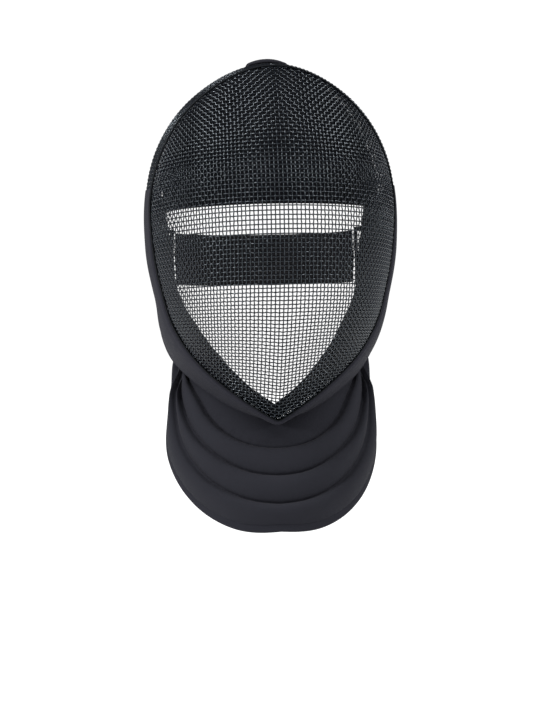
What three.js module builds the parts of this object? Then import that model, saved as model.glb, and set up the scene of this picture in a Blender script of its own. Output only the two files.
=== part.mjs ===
// A three-weapon fencing mask: a bowl of woven steel wire, a horseshoe of the same mesh round the
// crown and the sides of the head, a padded lining, a quilted bib, a back strap and a spring tongue.
//
// Frame, in millimetres: the wearer looks along -Y, +Z is up and X runs across the face. The origin
// is where the crown of the head meets the underside of the crown lining.
import * as THREE from 'three';
import { mergeVertices } from 'three/addons/utils/BufferGeometryUtils.js';

// ---------------------------------------------------------------------------------------------
// Driving dimensions
// ---------------------------------------------------------------------------------------------

const MESH_WALL = 2.0; // two crossed 1 mm wires
const PIECE_GAP = 0.3; // between neighbouring pieces
const SEAM_WIDTH = 3.0; // steel strip that joins the two meshes
const SEAM_WALL = 2.6;
const CLOTH_WALL = 1.6;
const BINDING_WIDTH = 6.0; // tape round the rear edge of the side mesh
const BINDING_WALL = 4.4;

// Level sections of the mask, from the crown to the chin. seamX and seamY are where the section
// meets the seam, frontY is the front of the bowl, bend and bendOut steer the side mesh behind
// the seam, rearY and rearOut are its rear edge, and pad is the thickness of the side lining.
const SECTIONS = [
  { z: -2.9, seamX: 0, seamY: -77, frontY: -77, bend: 32, bendOut: 9.6, rearY: 12, rearOut: 14.2, pad: 7 },
  { z: -4.9, seamX: 16.8, seamY: -75.6, frontY: -79.3, bend: 32, bendOut: 9.8, rearY: 14, rearOut: 13.4, pad: 7 },
  { z: -13.2, seamX: 38.4, seamY: -70.2, frontY: -88.6, bend: 33, bendOut: 11, rearY: 19, rearOut: 10.6, pad: 7 },
  { z: -30.3, seamX: 62.7, seamY: -61, frontY: -104.4, bend: 34, bendOut: 12.5, rearY: 30, rearOut: 6, pad: 7 },
  { z: -61.3, seamX: 85.2, seamY: -49, frontY: -124.8, bend: 35, bendOut: 13.5, rearY: 45, rearOut: -1, pad: 7 },
  { z: -97.8, seamX: 96.1, seamY: -38.5, frontY: -138, bend: 35, bendOut: 10.5, rearY: 56, rearOut: -4.5, pad: 10 },
  { z: -135.3, seamX: 95.6, seamY: -35, frontY: -138.8, bend: 34, bendOut: 9.5, rearY: 57, rearOut: -6, pad: 13 },
  { z: -173.3, seamX: 88.9, seamY: -34, frontY: -127.8, bend: 30, bendOut: 8.5, rearY: 50, rearOut: -8, pad: 8 },
  { z: -204.9, seamX: 78.6, seamY: -35, frontY: -109.4, bend: 25, bendOut: 7, rearY: 37, rearOut: -8, pad: 14 },
  { z: -233.3, seamX: 58.6, seamY: -38, frontY: -85.6, bend: 20, bendOut: 4, rearY: 20, rearOut: -7, pad: 13 },
  { z: -260.8, seamX: 25.9, seamY: -42, frontY: -59.4, bend: 14, bendOut: 3, rearY: 2, rearOut: -5, pad: 8 },
  { z: -276.4, seamX: 0, seamY: -44, frontY: -44, bend: 12, bendOut: 2.5, rearY: -6, rearOut: -4, pad: 7 },
];

// How steeply a level section of the bowl has turned back by the time it meets the seam, and how
// much of it is a straight fold at the crown and at the chin, where the bowl has a crease.
const TURN_BACK = THREE.MathUtils.degToRad(76);
const CROWN_CREASE = { share: 0.45, from: -88, to: -8 };
const CHIN_CREASE = { share: 0.55, from: -175, to: -250 };
const CREASE_SOFTNESS = 0.05;

// The seam's outline is round at the crown and comes to a fold at the chin, as sharp as this.
const CHIN_SOFTNESS = 1.5;
const OUTWARD_STEP = 0.2; // how far apart along the seam its outward direction is read

// Cloth that covers the outside of the side mesh below the ears: deep is how far it reaches back
// from the seam, no further than the rear edge, and loose is how far it stands off there.
const COVER_TOP_Z = -92;
const COVER_GAP = 1.0; // air under it
const COVER_FLARE = 1.2; // 1 would stand off evenly, more keeps it down near the seam
const COVER = [
  { z: -92.0, deep: 88, loose: 0.0 },
  { z: -135.3, deep: 86, loose: 0.6 },
  { z: -173.3, deep: 78, loose: 3.0 },
  { z: -190.0, deep: 70, loose: 9.0 },
  { z: -204.9, deep: 64, loose: 14.0 },
  { z: -220.7, deep: 55, loose: 15.5 },
  { z: -233.3, deep: 39, loose: 12.0 },
  { z: -247.4, deep: 30, loose: 9.5 },
  { z: -260.8, deep: 23, loose: 6.0 },
  { z: -271.5, deep: 19, loose: 1.5 },
  { z: -276.4, deep: 18, loose: 0.3 },
];

// The bib's top edge follows the rear edge of the cover, between two tips at one level. Each row is
// one sewn line below it, the last one the hem, as its distance from the middle of the level line
// at seven angles below that line, how far forward the row lies on the centre line, and how much
// of a full roll the stretch above it is.
const BIB_ANGLES = [0, 15, 30, 45, 60, 75, 90];
const BIB_LINES = [
  { reach: [72, 69, 68, 71, 73.5, 74, 74], frontY: -31, roll: 0.3 },
  { reach: [73, 76, 82, 88, 91.5, 94, 94.5], frontY: -40, roll: 1 },
  { reach: [73.5, 78.5, 88, 101, 110, 114.5, 116], frontY: -46.5, roll: 1 },
  { reach: [74.5, 80.5, 95, 116.5, 129.5, 134.5, 132], frontY: -50, roll: 1 },
];
const BIB_TIPS_Z = -225.4;
const BIB_TUCK = { behind: 7, under: 3.5, off: 3.3 }; // its top edge, from the cover and off the mesh
const BIB_TOP_SPREAD = 0.725; // how the top edge shares its length out along the seam
const BIB_WRAP = { halfWidth: 94, backY: 76, tipBack: 18.5 }; // an ellipse in plan, round the neck
const BIB_WALL = 4.0; // at a sewn line
const BIB_END = 2.5; // degrees left out at each tip
// A quilted roll: how far it swells out and in, how full its section is, and how much of that is
// left at a tip, over the last degrees before it.
const BIB_ROLL = { out: 5.0, in: 1.25, fullness: 0.75, tipShare: 0.35, tipDeg: 30 };
const HEM_GAP = 1.2;
const HEM_WIDTH = 4.2;
const HEM_WALL = 4.6;

// Crown lining: part of an ellipsoid round the top and front of the head, turned about the line
// through the two temples.
const HEAD = { halfWidth: 82.5, halfLength: 97, height: 109 };
const CROWN_LINING = { top: 7, temple: 6, fromDeg: 84, toDeg: 181, endDeg: 9 };

const SIDE_LINING_TOP_Z = -92;
const SIDE_LINING_START = 9; // behind the seam
const SIDE_LINING_END = 2; // in front of the rear edge
const SIDE_LINING_EDGE = 0.65; // thickness at its edges, as a share of that in the middle
const LINING_GAP = 1.0;

const STRAP = { topZ: -119.5, bottomZ: -163.5, wall: 2.6 };
const STRAP_PLAN = [
  { x: 75.4, y: 65.5 },
  { x: 67, y: 77 },
  { x: 48, y: 91 },
  { x: 24, y: 98.5 },
  { x: 0, y: 101 },
];
const STRAP_MIDDLE_Z = (STRAP.topZ + STRAP.bottomZ) / 2;
const STRAP_LOOP = { height: 50, width: 12.5, bar: 3 };

const TONGUE = { width: 31, wall: 3, droop: 2 };
const TONGUE_PAD = { width: 56, wall: 9, length: 46, edge: 0.35, fullness: 0.6 };
const TONGUE_PATH = [
  { y: -18, z: 10.2 },
  { y: -4, z: 12.6 },
  { y: 8, z: 14.7 },
  { y: 16, z: 15.8 },
  { y: 27, z: 16.0 },
  { y: 49, z: 12.5 },
  { y: 72, z: -1 },
  { y: 90, z: -22 },
  { y: 99, z: -50 },
];

const BOWL_SHARE = 0.997; // the bowl stops short of the seam strip
const BOWL_EDGE = { share: 0.97, lean: 0.25 }; // from here its wall runs straight into the strip

// Segments of the walls, along and across
const RING_STEPS = 48;
const BOWL_STEPS = 8;
const SIDE_STEPS = 5;
const COVER_STEPS = { along: 36, across: 5 };
const BIB_STEPS = { along: 32, roll: 4 };
const CROWN_LINING_STEPS = { along: 24, across: 8 };
const STRAP_STEPS = 28;
const TONGUE_STEPS = { along: 24, across: 4 };
const TONGUE_PAD_STEPS = 8;

// ---------------------------------------------------------------------------------------------
// Finishes
// ---------------------------------------------------------------------------------------------

const finish = (color, roughness, metalness) => () => (
  new THREE.MeshStandardMaterial({ color, roughness, metalness })
);
const coatedWire = finish(0x1d1e21, 0.42, 0.35);
const coatedStrip = finish(0x101113, 0.4, 0.4);
const coverCloth = finish(0x26272e, 0.9, 0);
const bibCloth = finish(0x22242b, 0.92, 0);
const liningCloth = finish(0x17181b, 0.95, 0);
const elastic = finish(0x1a1b1d, 0.85, 0);
const binding = finish(0x1b1c20, 0.85, 0);
const blackSteel = finish(0x141517, 0.35, 0.6);

// ---------------------------------------------------------------------------------------------
// Tables read as smooth curves
// ---------------------------------------------------------------------------------------------

/** A smooth function through (at[i], value[i]), with the slope at each knot from its neighbours. */
function smooth(at, value) {
  const last = at.length - 1;
  const slope = at.map((_, i) => {
    const a = Math.max(i - 1, 0);
    const b = Math.min(i + 1, last);
    return (value[b] - value[a]) / (at[b] - at[a]);
  });
  const up = at[last] > at[0] ? 1 : -1;
  return (x) => {
    let i = 0;
    while (i < last - 1 && (x - at[i + 1]) * up > 0) i += 1;
    const span = at[i + 1] - at[i];
    const t = THREE.MathUtils.clamp((x - at[i]) / span, 0, 1);
    const h = 1 - t;
    return value[i] * h * h * (1 + 2 * t) + slope[i] * span * t * h * h
      + value[i + 1] * t * t * (3 - 2 * t) - slope[i + 1] * span * t * t * h;
  };
}

const column = (table, name) => smooth(table.map((row) => row.z), table.map((row) => row[name]));

const seamY = column(SECTIONS, 'seamY');
const frontY = column(SECTIONS, 'frontY');
const CROWN_Z = SECTIONS[0].z;
const CHIN_Z = SECTIONS[SECTIONS.length - 1].z;

/** The outline that a seam with a round crown and a folded chin has, before it is fitted. */
function plainOutline(z) {
  const down = Math.max(CROWN_Z - z, 0);
  const up = Math.max(z - CHIN_Z, 0);
  return Math.sqrt(down * (up * up + 2 * CHIN_SOFTNESS * up));
}

const seamRows = SECTIONS.slice(1, -1);
const waist = smooth(
  seamRows.map((row) => row.z),
  seamRows.map((row) => row.seamX / plainOutline(row.z)),
);
const seamX = (z) => waist(z) * plainOutline(z);
const MIDDLE_Z = (CROWN_Z + CHIN_Z) / 2;
const HALF_HEIGHT = (CROWN_Z - CHIN_Z) / 2;

// ---------------------------------------------------------------------------------------------
// Master surfaces
// ---------------------------------------------------------------------------------------------

/** The bowl: how far forward it is at a point of its front view. */
function bowlY(x, z) {
  const across = Math.min(Math.abs(x) / Math.max(seamX(z), 1e-6), 1);
  const crown = CROWN_CREASE.share * THREE.MathUtils.smoothstep(z, CROWN_CREASE.from, CROWN_CREASE.to);
  const chin = CHIN_CREASE.share * (1 - THREE.MathUtils.smoothstep(z, CHIN_CREASE.to, CHIN_CREASE.from));
  const round = Math.log(Math.cos(TURN_BACK * across)) / Math.log(Math.cos(TURN_BACK));
  const fold = (Math.hypot(across, CREASE_SOFTNESS) - CREASE_SOFTNESS)
    / (Math.hypot(1, CREASE_SOFTNESS) - CREASE_SOFTNESS);
  return THREE.MathUtils.lerp(frontY(z), seamY(z), THREE.MathUtils.lerp(round, fold, crown + chin));
}

/** The level at an angle round the seam: 0 at the crown, pi at the chin. */
const levelAt = (angle) => MIDDLE_Z + HALF_HEIGHT * Math.cos(angle);

/** The seam at an angle round it. */
function seamPoint(angle) {
  const z = levelAt(angle);
  return new THREE.Vector3(-Math.sign(Math.sin(angle)) * seamX(z), seamY(z), z);
}

/** The direction that points out of the seam's outline, seen from the front. */
function seamOutward(angle) {
  const along = seamPoint(angle + OUTWARD_STEP).sub(seamPoint(angle - OUTWARD_STEP));
  return new THREE.Vector3(along.z, 0, -along.x).normalize();
}

const sideColumns = Object.fromEntries(
  ['bend', 'bendOut', 'rearY', 'rearOut', 'pad'].map((name) => [name, column(SECTIONS, name)]),
);

/** How deep the side mesh is behind the seam. */
function sideDepth(angle) {
  const z = levelAt(angle);
  return sideColumns.rearY(z) - seamY(z);
}

/** How far the side mesh stands out from the seam's outline, at a distance behind the seam. */
function sideOut(angle, behind) {
  const z = levelAt(angle);
  const deep = sideDepth(angle);
  const bend = sideColumns.bend(z);
  const a = deep - 2 * bend;
  const reach = Math.min(Math.max(behind, 0), deep);
  const t = Math.abs(a) < 1e-6 ? reach / (2 * bend) : (-bend + Math.sqrt(bend * bend + a * reach)) / a;
  const slope = 2 * (sideColumns.rearOut(z) - sideColumns.bendOut(z)) / (2 * (deep - bend));
  const past = (behind - reach) * slope;
  return 2 * t * (1 - t) * sideColumns.bendOut(z) + t * t * sideColumns.rearOut(z) + past;
}

/** A point near the side mesh: behind the seam, and off the mesh's outer face by lift. */
function sidePoint(angle, behind, lift = 0) {
  const point = seamPoint(angle);
  point.addScaledVector(seamOutward(angle), sideOut(angle, behind) + lift);
  point.y += behind;
  return point;
}

// ---------------------------------------------------------------------------------------------
// Solids
// ---------------------------------------------------------------------------------------------

/** Volume inside a closed indexed geometry: negative when its faces point inwards. */
function signedVolume(geometry) {
  const position = geometry.getAttribute('position');
  const corner = [0, 1, 2].map(() => new THREE.Vector3());
  let sum = 0;
  for (let i = 0; i < geometry.index.count; i += 3) {
    corner.forEach((point, k) => point.fromBufferAttribute(position, geometry.index.getX(i + k)));
    sum += corner[0].dot(corner[1].clone().cross(corner[2]));
  }
  return sum / 6;
}

/** Drops the triangles that a pole has flattened, and turns every face outwards. */
function closed(points, triangles) {
  const loose = new THREE.BufferGeometry();
  loose.setAttribute('position', new THREE.Float32BufferAttribute(points.flatMap((p) => p.toArray()), 3));
  loose.setIndex(triangles.flat());
  const geometry = mergeVertices(loose, 1e-3);
  const kept = [];
  for (let i = 0; i < geometry.index.count; i += 3) {
    const [a, b, c] = [0, 1, 2].map((k) => geometry.index.getX(i + k));
    if (a !== b && b !== c && c !== a) kept.push([a, b, c]);
  }
  geometry.setIndex(kept.flat());
  if (signedVolume(geometry) < 0) geometry.setIndex(kept.flatMap(([a, b, c]) => [a, c, b]));
  geometry.computeVertexNormals();
  return geometry;
}

/**
 * A wall between two faces. face(u, v, side) gives a point of it, with u and v from 0 to 1 and
 * side 1 on the outer face and 0 on the inner one. A ring joins u = 1 to u = 0.
 */
function wall(face, uSteps, vSteps, ring = false) {
  const columns = ring ? uSteps : uSteps + 1;
  const points = [];
  for (const side of [1, 0]) {
    for (let i = 0; i < columns; i += 1) {
      for (let j = 0; j <= vSteps; j += 1) points.push(face(i / uSteps, j / vSteps, side));
    }
  }
  const at = (i, j, side) => (side ? 0 : columns * (vSteps + 1)) + (i % columns) * (vSteps + 1) + j;
  const triangles = [];
  const quad = (a, b, c, d) => triangles.push([a, b, c], [a, c, d]);
  for (let i = 0; i < uSteps; i += 1) {
    for (let j = 0; j < vSteps; j += 1) {
      quad(at(i, j, 1), at(i + 1, j, 1), at(i + 1, j + 1, 1), at(i, j + 1, 1));
      quad(at(i, j, 0), at(i, j + 1, 0), at(i + 1, j + 1, 0), at(i + 1, j, 0));
    }
    quad(at(i, 0, 0), at(i + 1, 0, 0), at(i + 1, 0, 1), at(i, 0, 1));
    quad(at(i, vSteps, 1), at(i + 1, vSteps, 1), at(i + 1, vSteps, 0), at(i, vSteps, 0));
  }
  if (!ring) {
    for (let j = 0; j < vSteps; j += 1) {
      quad(at(0, j, 1), at(0, j + 1, 1), at(0, j + 1, 0), at(0, j, 0));
      quad(at(uSteps, j, 0), at(uSteps, j + 1, 0), at(uSteps, j + 1, 1), at(uSteps, j, 1));
    }
  }
  return closed(points, triangles);
}

function part(name, geometry, material) {
  const mesh = new THREE.Mesh(geometry, material());
  mesh.name = name;
  return mesh;
}

// ---------------------------------------------------------------------------------------------
// Wire parts
// ---------------------------------------------------------------------------------------------

/** A bowl point, from the middle of the face (0) to the seam (1) at an angle round it. */
function bowlPoint(angle, share, lift) {
  const rim = seamPoint(angle);
  const x = rim.x * share;
  const z = MIDDLE_Z + (rim.z - MIDDLE_Z) * share;
  const point = new THREE.Vector3(x, bowlY(x, z), z);
  const step = 0.5;
  const slopeX = (bowlY(point.x + step, point.z) - bowlY(point.x - step, point.z)) / (2 * step);
  const slopeZ = (bowlY(point.x, point.z + step) - bowlY(point.x, point.z - step)) / (2 * step);
  const normal = new THREE.Vector3(slopeX, -1, slopeZ).normalize();
  if (share > BOWL_EDGE.share) normal.copy(seamOutward(angle)).setY(-BOWL_EDGE.lean).normalize();
  return point.addScaledVector(normal, lift);
}

function frontMesh() {
  const face = (u, v, side) => (
    bowlPoint(u * 2 * Math.PI, Math.sqrt(v) * BOWL_SHARE, side ? 0 : -MESH_WALL)
  );
  return part('front_mesh', wall(face, RING_STEPS, BOWL_STEPS, true), coatedWire);
}

/** A ring that follows the seam, between two distances behind it. */
function seamRing(from, to, top, bottom, steps) {
  return wall((u, v, side) => {
    const angle = u * 2 * Math.PI;
    return sidePoint(angle, THREE.MathUtils.lerp(from(angle), to(angle), v), side ? top : bottom);
  }, RING_STEPS, steps, true);
}

const seamStrip = () => part(
  'seam_strip',
  seamRing(() => 0, () => SEAM_WIDTH, SEAM_WALL - MESH_WALL, -MESH_WALL, 1),
  coatedStrip,
);

const sideMesh = () => part(
  'side_mesh',
  seamRing(() => SEAM_WIDTH + PIECE_GAP, sideDepth, 0, -MESH_WALL, SIDE_STEPS),
  coatedWire,
);

const rearBinding = () => part(
  'rear_binding',
  seamRing(
    (angle) => sideDepth(angle) + PIECE_GAP,
    (angle) => sideDepth(angle) + BINDING_WIDTH,
    (BINDING_WALL - MESH_WALL) / 2,
    -(BINDING_WALL + MESH_WALL) / 2,
    1,
  ),
  binding,
);

// ---------------------------------------------------------------------------------------------
// Cloth cover and bib
// ---------------------------------------------------------------------------------------------

const coverDeep = column(COVER, 'deep');
const coverLoose = column(COVER, 'loose');
const COVER_TOP_ANGLE = Math.acos((COVER_TOP_Z - MIDDLE_Z) / HALF_HEIGHT);

/** A point of the cover's inner face, v = 0 at the seam and 1 at its rear edge. */
function coverPoint(angle, v, lift) {
  const z = levelAt(angle);
  const start = SEAM_WIDTH + PIECE_GAP;
  const deep = Math.min(coverDeep(z), sideDepth(angle) - PIECE_GAP);
  const loose = coverLoose(z) * v ** COVER_FLARE;
  return sidePoint(angle, start + (deep - start) * v, COVER_GAP + loose + lift);
}

function sideCover() {
  const face = (u, v, side) => {
    const angle = THREE.MathUtils.lerp(COVER_TOP_ANGLE, 2 * Math.PI - COVER_TOP_ANGLE, u);
    return coverPoint(angle, v, side ? CLOTH_WALL : 0);
  };
  return part('side_cover', wall(face, COVER_STEPS.along, COVER_STEPS.across), coverCloth);
}

const bibReach = BIB_LINES.map((line) => smooth(BIB_ANGLES, line.reach));
const BIB_ROLLS = BIB_LINES.length;
const BIB_TIP_ANGLE = Math.acos((BIB_TIPS_Z - MIDDLE_Z) / HALF_HEIGHT);

/** A point of the bib's top edge, tucked behind the cover's rear edge. */
function bibTop(turn) {
  const side = turn <= 90 ? 1 : -1;
  const share = Math.abs(1 - turn / 90) ** BIB_TOP_SPREAD;
  const angle = Math.PI - side * (Math.PI - BIB_TIP_ANGLE) * share;
  const z = levelAt(angle);
  const lift = Math.max(COVER_GAP + coverLoose(z) - BIB_TUCK.under, BIB_TUCK.off);
  return sidePoint(angle, coverDeep(z) + BIB_TUCK.behind, lift);
}

/** A point of one of the bib's lines. */
function bibLine(line, turn) {
  if (line === 0) return bibTop(turn);
  const reach = bibReach[line - 1](turn <= 90 ? turn : 180 - turn);
  const front = BIB_LINES[line - 1].frontY;
  const angle = THREE.MathUtils.degToRad(turn);
  const x = -reach * Math.cos(angle);
  const round = 1 - Math.sqrt(Math.max(1 - (x / BIB_WRAP.halfWidth) ** 2, 0));
  const y = front + (BIB_WRAP.backY - front) * round + BIB_WRAP.tipBack * Math.abs(Math.cos(angle)) ** 3;
  return new THREE.Vector3(x, y, BIB_TIPS_Z - reach * Math.sin(angle));
}

/** A point of the bib's middle sheet: turn is 0 to 180 degrees round it, down is 0 to 1. */
function bibSheet(turn, down) {
  const line = Math.min(Math.floor(down * BIB_ROLLS), BIB_ROLLS - 1);
  return bibLine(line, turn).lerp(bibLine(line + 1, turn), down * BIB_ROLLS - line);
}

/** The direction that faces out of the bib. */
function bibOutward(turn, down) {
  const step = 0.6;
  const slide = 0.012;
  const a = Math.min(Math.max(turn, step), 180 - step);
  const d = Math.min(Math.max(down, slide), 1 - slide);
  const across = bibSheet(a + step, d).sub(bibSheet(a - step, d));
  const along = bibSheet(a, d + slide).sub(bibSheet(a, d - slide));
  return along.cross(across).normalize();
}

/** A point of the bib's outer face (side 1) or inner face (side 0), with its quilted rolls. */
function bibPoint(turn, down, side) {
  const { roll } = BIB_LINES[Math.min(Math.floor(down * BIB_ROLLS), BIB_ROLLS - 1)];
  const swell = roll * Math.abs(Math.sin(down * BIB_ROLLS * Math.PI)) ** BIB_ROLL.fullness;
  const fromTip = 90 - Math.abs(turn - 90);
  const full = swell * Math.min(1, fromTip / BIB_ROLL.tipDeg + BIB_ROLL.tipShare);
  const lift = side ? BIB_WALL / 2 + BIB_ROLL.out * full : -BIB_WALL / 2 - BIB_ROLL.in * full;
  return bibSheet(turn, down).addScaledVector(bibOutward(turn, down), lift);
}

function bib() {
  const face = (u, v, side) => bibPoint(BIB_END + (180 - 2 * BIB_END) * u, v, side);
  return part('bib', wall(face, BIB_STEPS.along, BIB_ROLLS * BIB_STEPS.roll), bibCloth);
}

function bibHem() {
  const face = (u, v, side) => {
    const turn = BIB_END + (180 - 2 * BIB_END) * u;
    const edge = bibSheet(turn, 1);
    const outward = bibOutward(turn, 1);
    const down = edge.clone().sub(bibLine(BIB_ROLLS - 1, turn)).normalize();
    return edge.addScaledVector(outward, side ? HEM_WALL / 2 : -HEM_WALL / 2)
      .addScaledVector(down, HEM_GAP + HEM_WIDTH * v);
  };
  return part('bib_hem', wall(face, BIB_STEPS.along, 1), binding);
}

// ---------------------------------------------------------------------------------------------
// Linings
// ---------------------------------------------------------------------------------------------

function crownLining() {
  const face = (u, v, side) => {
    const across = THREE.MathUtils.degToRad(
      THREE.MathUtils.lerp(CROWN_LINING.endDeg, 180 - CROWN_LINING.endDeg, u),
    );
    const { temple, top, fromDeg, toDeg } = CROWN_LINING;
    const lift = side * THREE.MathUtils.lerp(temple, top, Math.sin(across) ** 4);
    const over = THREE.MathUtils.degToRad(THREE.MathUtils.lerp(fromDeg, toDeg, v));
    return new THREE.Vector3(
      -(HEAD.halfWidth + lift) * Math.cos(across),
      (HEAD.halfLength + lift) * Math.sin(across) * Math.cos(over),
      -HEAD.height + (HEAD.height + lift) * Math.sin(across) * Math.sin(over),
    );
  };
  const { along, across: rows } = CROWN_LINING_STEPS;
  return part('crown_lining', wall(face, along, rows), liningCloth);
}

function sideLining() {
  const top = Math.acos((SIDE_LINING_TOP_Z - MIDDLE_Z) / HALF_HEIGHT);
  const face = (u, v, side) => {
    const angle = THREE.MathUtils.lerp(top, 2 * Math.PI - top, u);
    const behind = THREE.MathUtils.lerp(SIDE_LINING_START, sideDepth(angle) - SIDE_LINING_END, v);
    const full = THREE.MathUtils.lerp(SIDE_LINING_EDGE, 1, Math.sin(Math.PI * v));
    const swell = sideColumns.pad(levelAt(angle)) * full;
    return sidePoint(angle, behind, -MESH_WALL - LINING_GAP - (side ? 0 : swell));
  };
  return part('side_lining', wall(face, COVER_STEPS.along, COVER_STEPS.across), liningCloth);
}

// ---------------------------------------------------------------------------------------------
// Strap and tongue
// ---------------------------------------------------------------------------------------------

// The strap in plan, from its left end round the back of the head to its right end.
const strapCurve = new THREE.CatmullRomCurve3([
  ...STRAP_PLAN.map(({ x, y }) => new THREE.Vector3(-x, y, 0)),
  ...STRAP_PLAN.slice(0, -1).reverse().map(({ x, y }) => new THREE.Vector3(x, y, 0)),
]);

function backStrap() {
  const face = (u, v, side) => {
    const along = strapCurve.getTangentAt(u);
    const lift = side ? STRAP.wall / 2 : -STRAP.wall / 2;
    const point = strapCurve.getPointAt(u).add(new THREE.Vector3(-along.y * lift, along.x * lift, 0));
    return point.setZ(THREE.MathUtils.lerp(STRAP.topZ, STRAP.bottomZ, v));
  };
  return part('back_strap', wall(face, STRAP_STEPS, 1), elastic);
}

/** A flat rectangular loop: the strap is sewn round its inner bar, the lining holds the other. */
function strapLoop(name, hand) {
  const { height, width, bar } = STRAP_LOOP;
  const frame = new THREE.Shape();
  frame.moveTo(0, -height / 2);
  frame.lineTo(width, -height / 2);
  frame.lineTo(width, height / 2);
  frame.lineTo(0, height / 2);
  frame.closePath();
  const slot = new THREE.Path();
  slot.moveTo(bar, bar - height / 2);
  slot.lineTo(bar, height / 2 - bar);
  slot.lineTo(width - bar, height / 2 - bar);
  slot.lineTo(width - bar, bar - height / 2);
  slot.closePath();
  frame.holes.push(slot);
  const geometry = new THREE.ExtrudeGeometry(frame, { depth: STRAP.wall, bevelEnabled: false });
  geometry.rotateX(Math.PI / 2);
  const mesh = part(name, geometry, blackSteel);
  mesh.rotation.y = hand > 0 ? 0 : Math.PI;
  const end = STRAP_PLAN[0];
  mesh.position.set(hand * (end.x + STRAP.wall / 2 + PIECE_GAP), end.y + STRAP.wall / 2, STRAP_MIDDLE_Z);
  return mesh;
}

const tongueCurve = new THREE.CatmullRomCurve3(TONGUE_PATH.map(({ y, z }) => new THREE.Vector3(0, y, z)));

/** A point off the tongue's path: along it from 0 to 1, across it, and off its outer face. */
function tonguePoint(along, across, lift) {
  const tangent = tongueCurve.getTangentAt(along);
  const off = lift - TONGUE.droop * (2 * across / TONGUE.width) ** 2;
  return tongueCurve.getPointAt(along)
    .add(new THREE.Vector3(across, -tangent.z * off, tangent.y * off));
}

function tongue() {
  const face = (u, v, side) => {
    const lift = side ? TONGUE.wall / 2 : -TONGUE.wall / 2;
    return tonguePoint(u, (v - 0.5) * TONGUE.width, lift);
  };
  return part('tongue', wall(face, TONGUE_STEPS.along, TONGUE_STEPS.across), bibCloth);
}

function tonguePad() {
  const start = 1 - TONGUE_PAD.length / tongueCurve.getLength();
  const top = -TONGUE.wall / 2 - PIECE_GAP;
  const face = (u, v, side) => {
    const full = (Math.sin(Math.PI * u) * Math.sin(Math.PI * v)) ** TONGUE_PAD.fullness;
    const deep = TONGUE_PAD.wall * THREE.MathUtils.lerp(TONGUE_PAD.edge, 1, full);
    const along = THREE.MathUtils.lerp(start, 1, u);
    return tonguePoint(along, (v - 0.5) * TONGUE_PAD.width, side ? top : top - deep);
  };
  return part('tongue_pad', wall(face, TONGUE_PAD_STEPS, TONGUE_PAD_STEPS), liningCloth);
}

// ---------------------------------------------------------------------------------------------
// Export
// ---------------------------------------------------------------------------------------------

const mask = new THREE.Group();
mask.add(
  frontMesh(),
  seamStrip(),
  sideMesh(),
  rearBinding(),
  sideCover(),
  bib(),
  bibHem(),
  crownLining(),
  sideLining(),
  backStrap(),
  strapLoop('strap_loop_left', -1),
  strapLoop('strap_loop_right', 1),
  tongue(),
  tonguePad(),
);

export default mask;
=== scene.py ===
"""Looks of a fencing mask: woven wire face and sides, padded linings, cloth cover, quilted bib,
elastic back strap and spring tongue.

Sizes in the tables are millimetres. The wearer looks along -Y, +Z is up, and the origin is where
the crown of the head meets the crown lining.
"""
import logging
import math
from dataclasses import dataclass, field
from enum import Enum
from functools import cached_property
from typing import Callable, Iterable, Sequence

import bmesh
import bpy
import numpy as np
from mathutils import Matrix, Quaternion, Vector


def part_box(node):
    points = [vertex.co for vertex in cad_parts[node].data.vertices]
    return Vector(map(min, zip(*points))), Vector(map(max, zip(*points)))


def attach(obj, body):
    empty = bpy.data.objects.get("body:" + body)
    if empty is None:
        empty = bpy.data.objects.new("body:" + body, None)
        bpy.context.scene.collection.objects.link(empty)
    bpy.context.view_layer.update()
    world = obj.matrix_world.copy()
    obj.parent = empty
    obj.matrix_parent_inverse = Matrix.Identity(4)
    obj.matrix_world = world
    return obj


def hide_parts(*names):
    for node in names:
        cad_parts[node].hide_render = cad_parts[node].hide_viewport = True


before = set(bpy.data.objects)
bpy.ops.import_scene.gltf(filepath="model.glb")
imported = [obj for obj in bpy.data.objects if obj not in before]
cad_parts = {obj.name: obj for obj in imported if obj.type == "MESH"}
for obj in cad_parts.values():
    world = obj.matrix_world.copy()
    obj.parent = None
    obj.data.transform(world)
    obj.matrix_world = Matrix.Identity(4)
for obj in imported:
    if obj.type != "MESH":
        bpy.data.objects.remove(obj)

LOG = logging.getLogger("mask")
MM = 0.001

# A grid's wall before its inner face is laid, and how near two points are the same one, in metres.
FIRST_WALL = 0.001
SAME_PLACE = 1e-6

# How far off the cloth the middle of a stitch lies, in mm.
ON_CLOTH = 0.1

Array = np.ndarray
FaceRule = Callable[[Array, Array, int], Array]


# ---------------------------------------------------------------------------------------------
# Shaders
# ---------------------------------------------------------------------------------------------


class Value:
    """A socket in a shader expression: operators on it add Math nodes."""

    def __init__(self, shader: "Shader", socket: bpy.types.NodeSocket) -> None:
        """Wraps a socket of that shader."""
        self.shader = shader
        self.socket = socket

    def _math(self, operation: str, *terms: "Value | float") -> "Value":
        """One Math node on the terms."""
        node = self.shader.node("ShaderNodeMath", {"operation": operation}, dict(enumerate(terms)))
        return Value(self.shader, node.outputs[0])

    def __add__(self, other: "Value | float") -> "Value":
        """Sum."""
        return self._math("ADD", self, other)

    def __radd__(self, other: float) -> "Value":
        """Sum, the number first."""
        return self._math("ADD", other, self)

    def __sub__(self, other: "Value | float") -> "Value":
        """Difference."""
        return self._math("SUBTRACT", self, other)

    def __rsub__(self, other: float) -> "Value":
        """Difference, the number first."""
        return self._math("SUBTRACT", other, self)

    def __mul__(self, other: "Value | float") -> "Value":
        """Product."""
        return self._math("MULTIPLY", self, other)

    def __rmul__(self, other: float) -> "Value":
        """Product, the number first."""
        return self._math("MULTIPLY", other, self)

    def sine(self) -> "Value":
        """Sine of an angle in radians."""
        return self._math("SINE", self)


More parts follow.
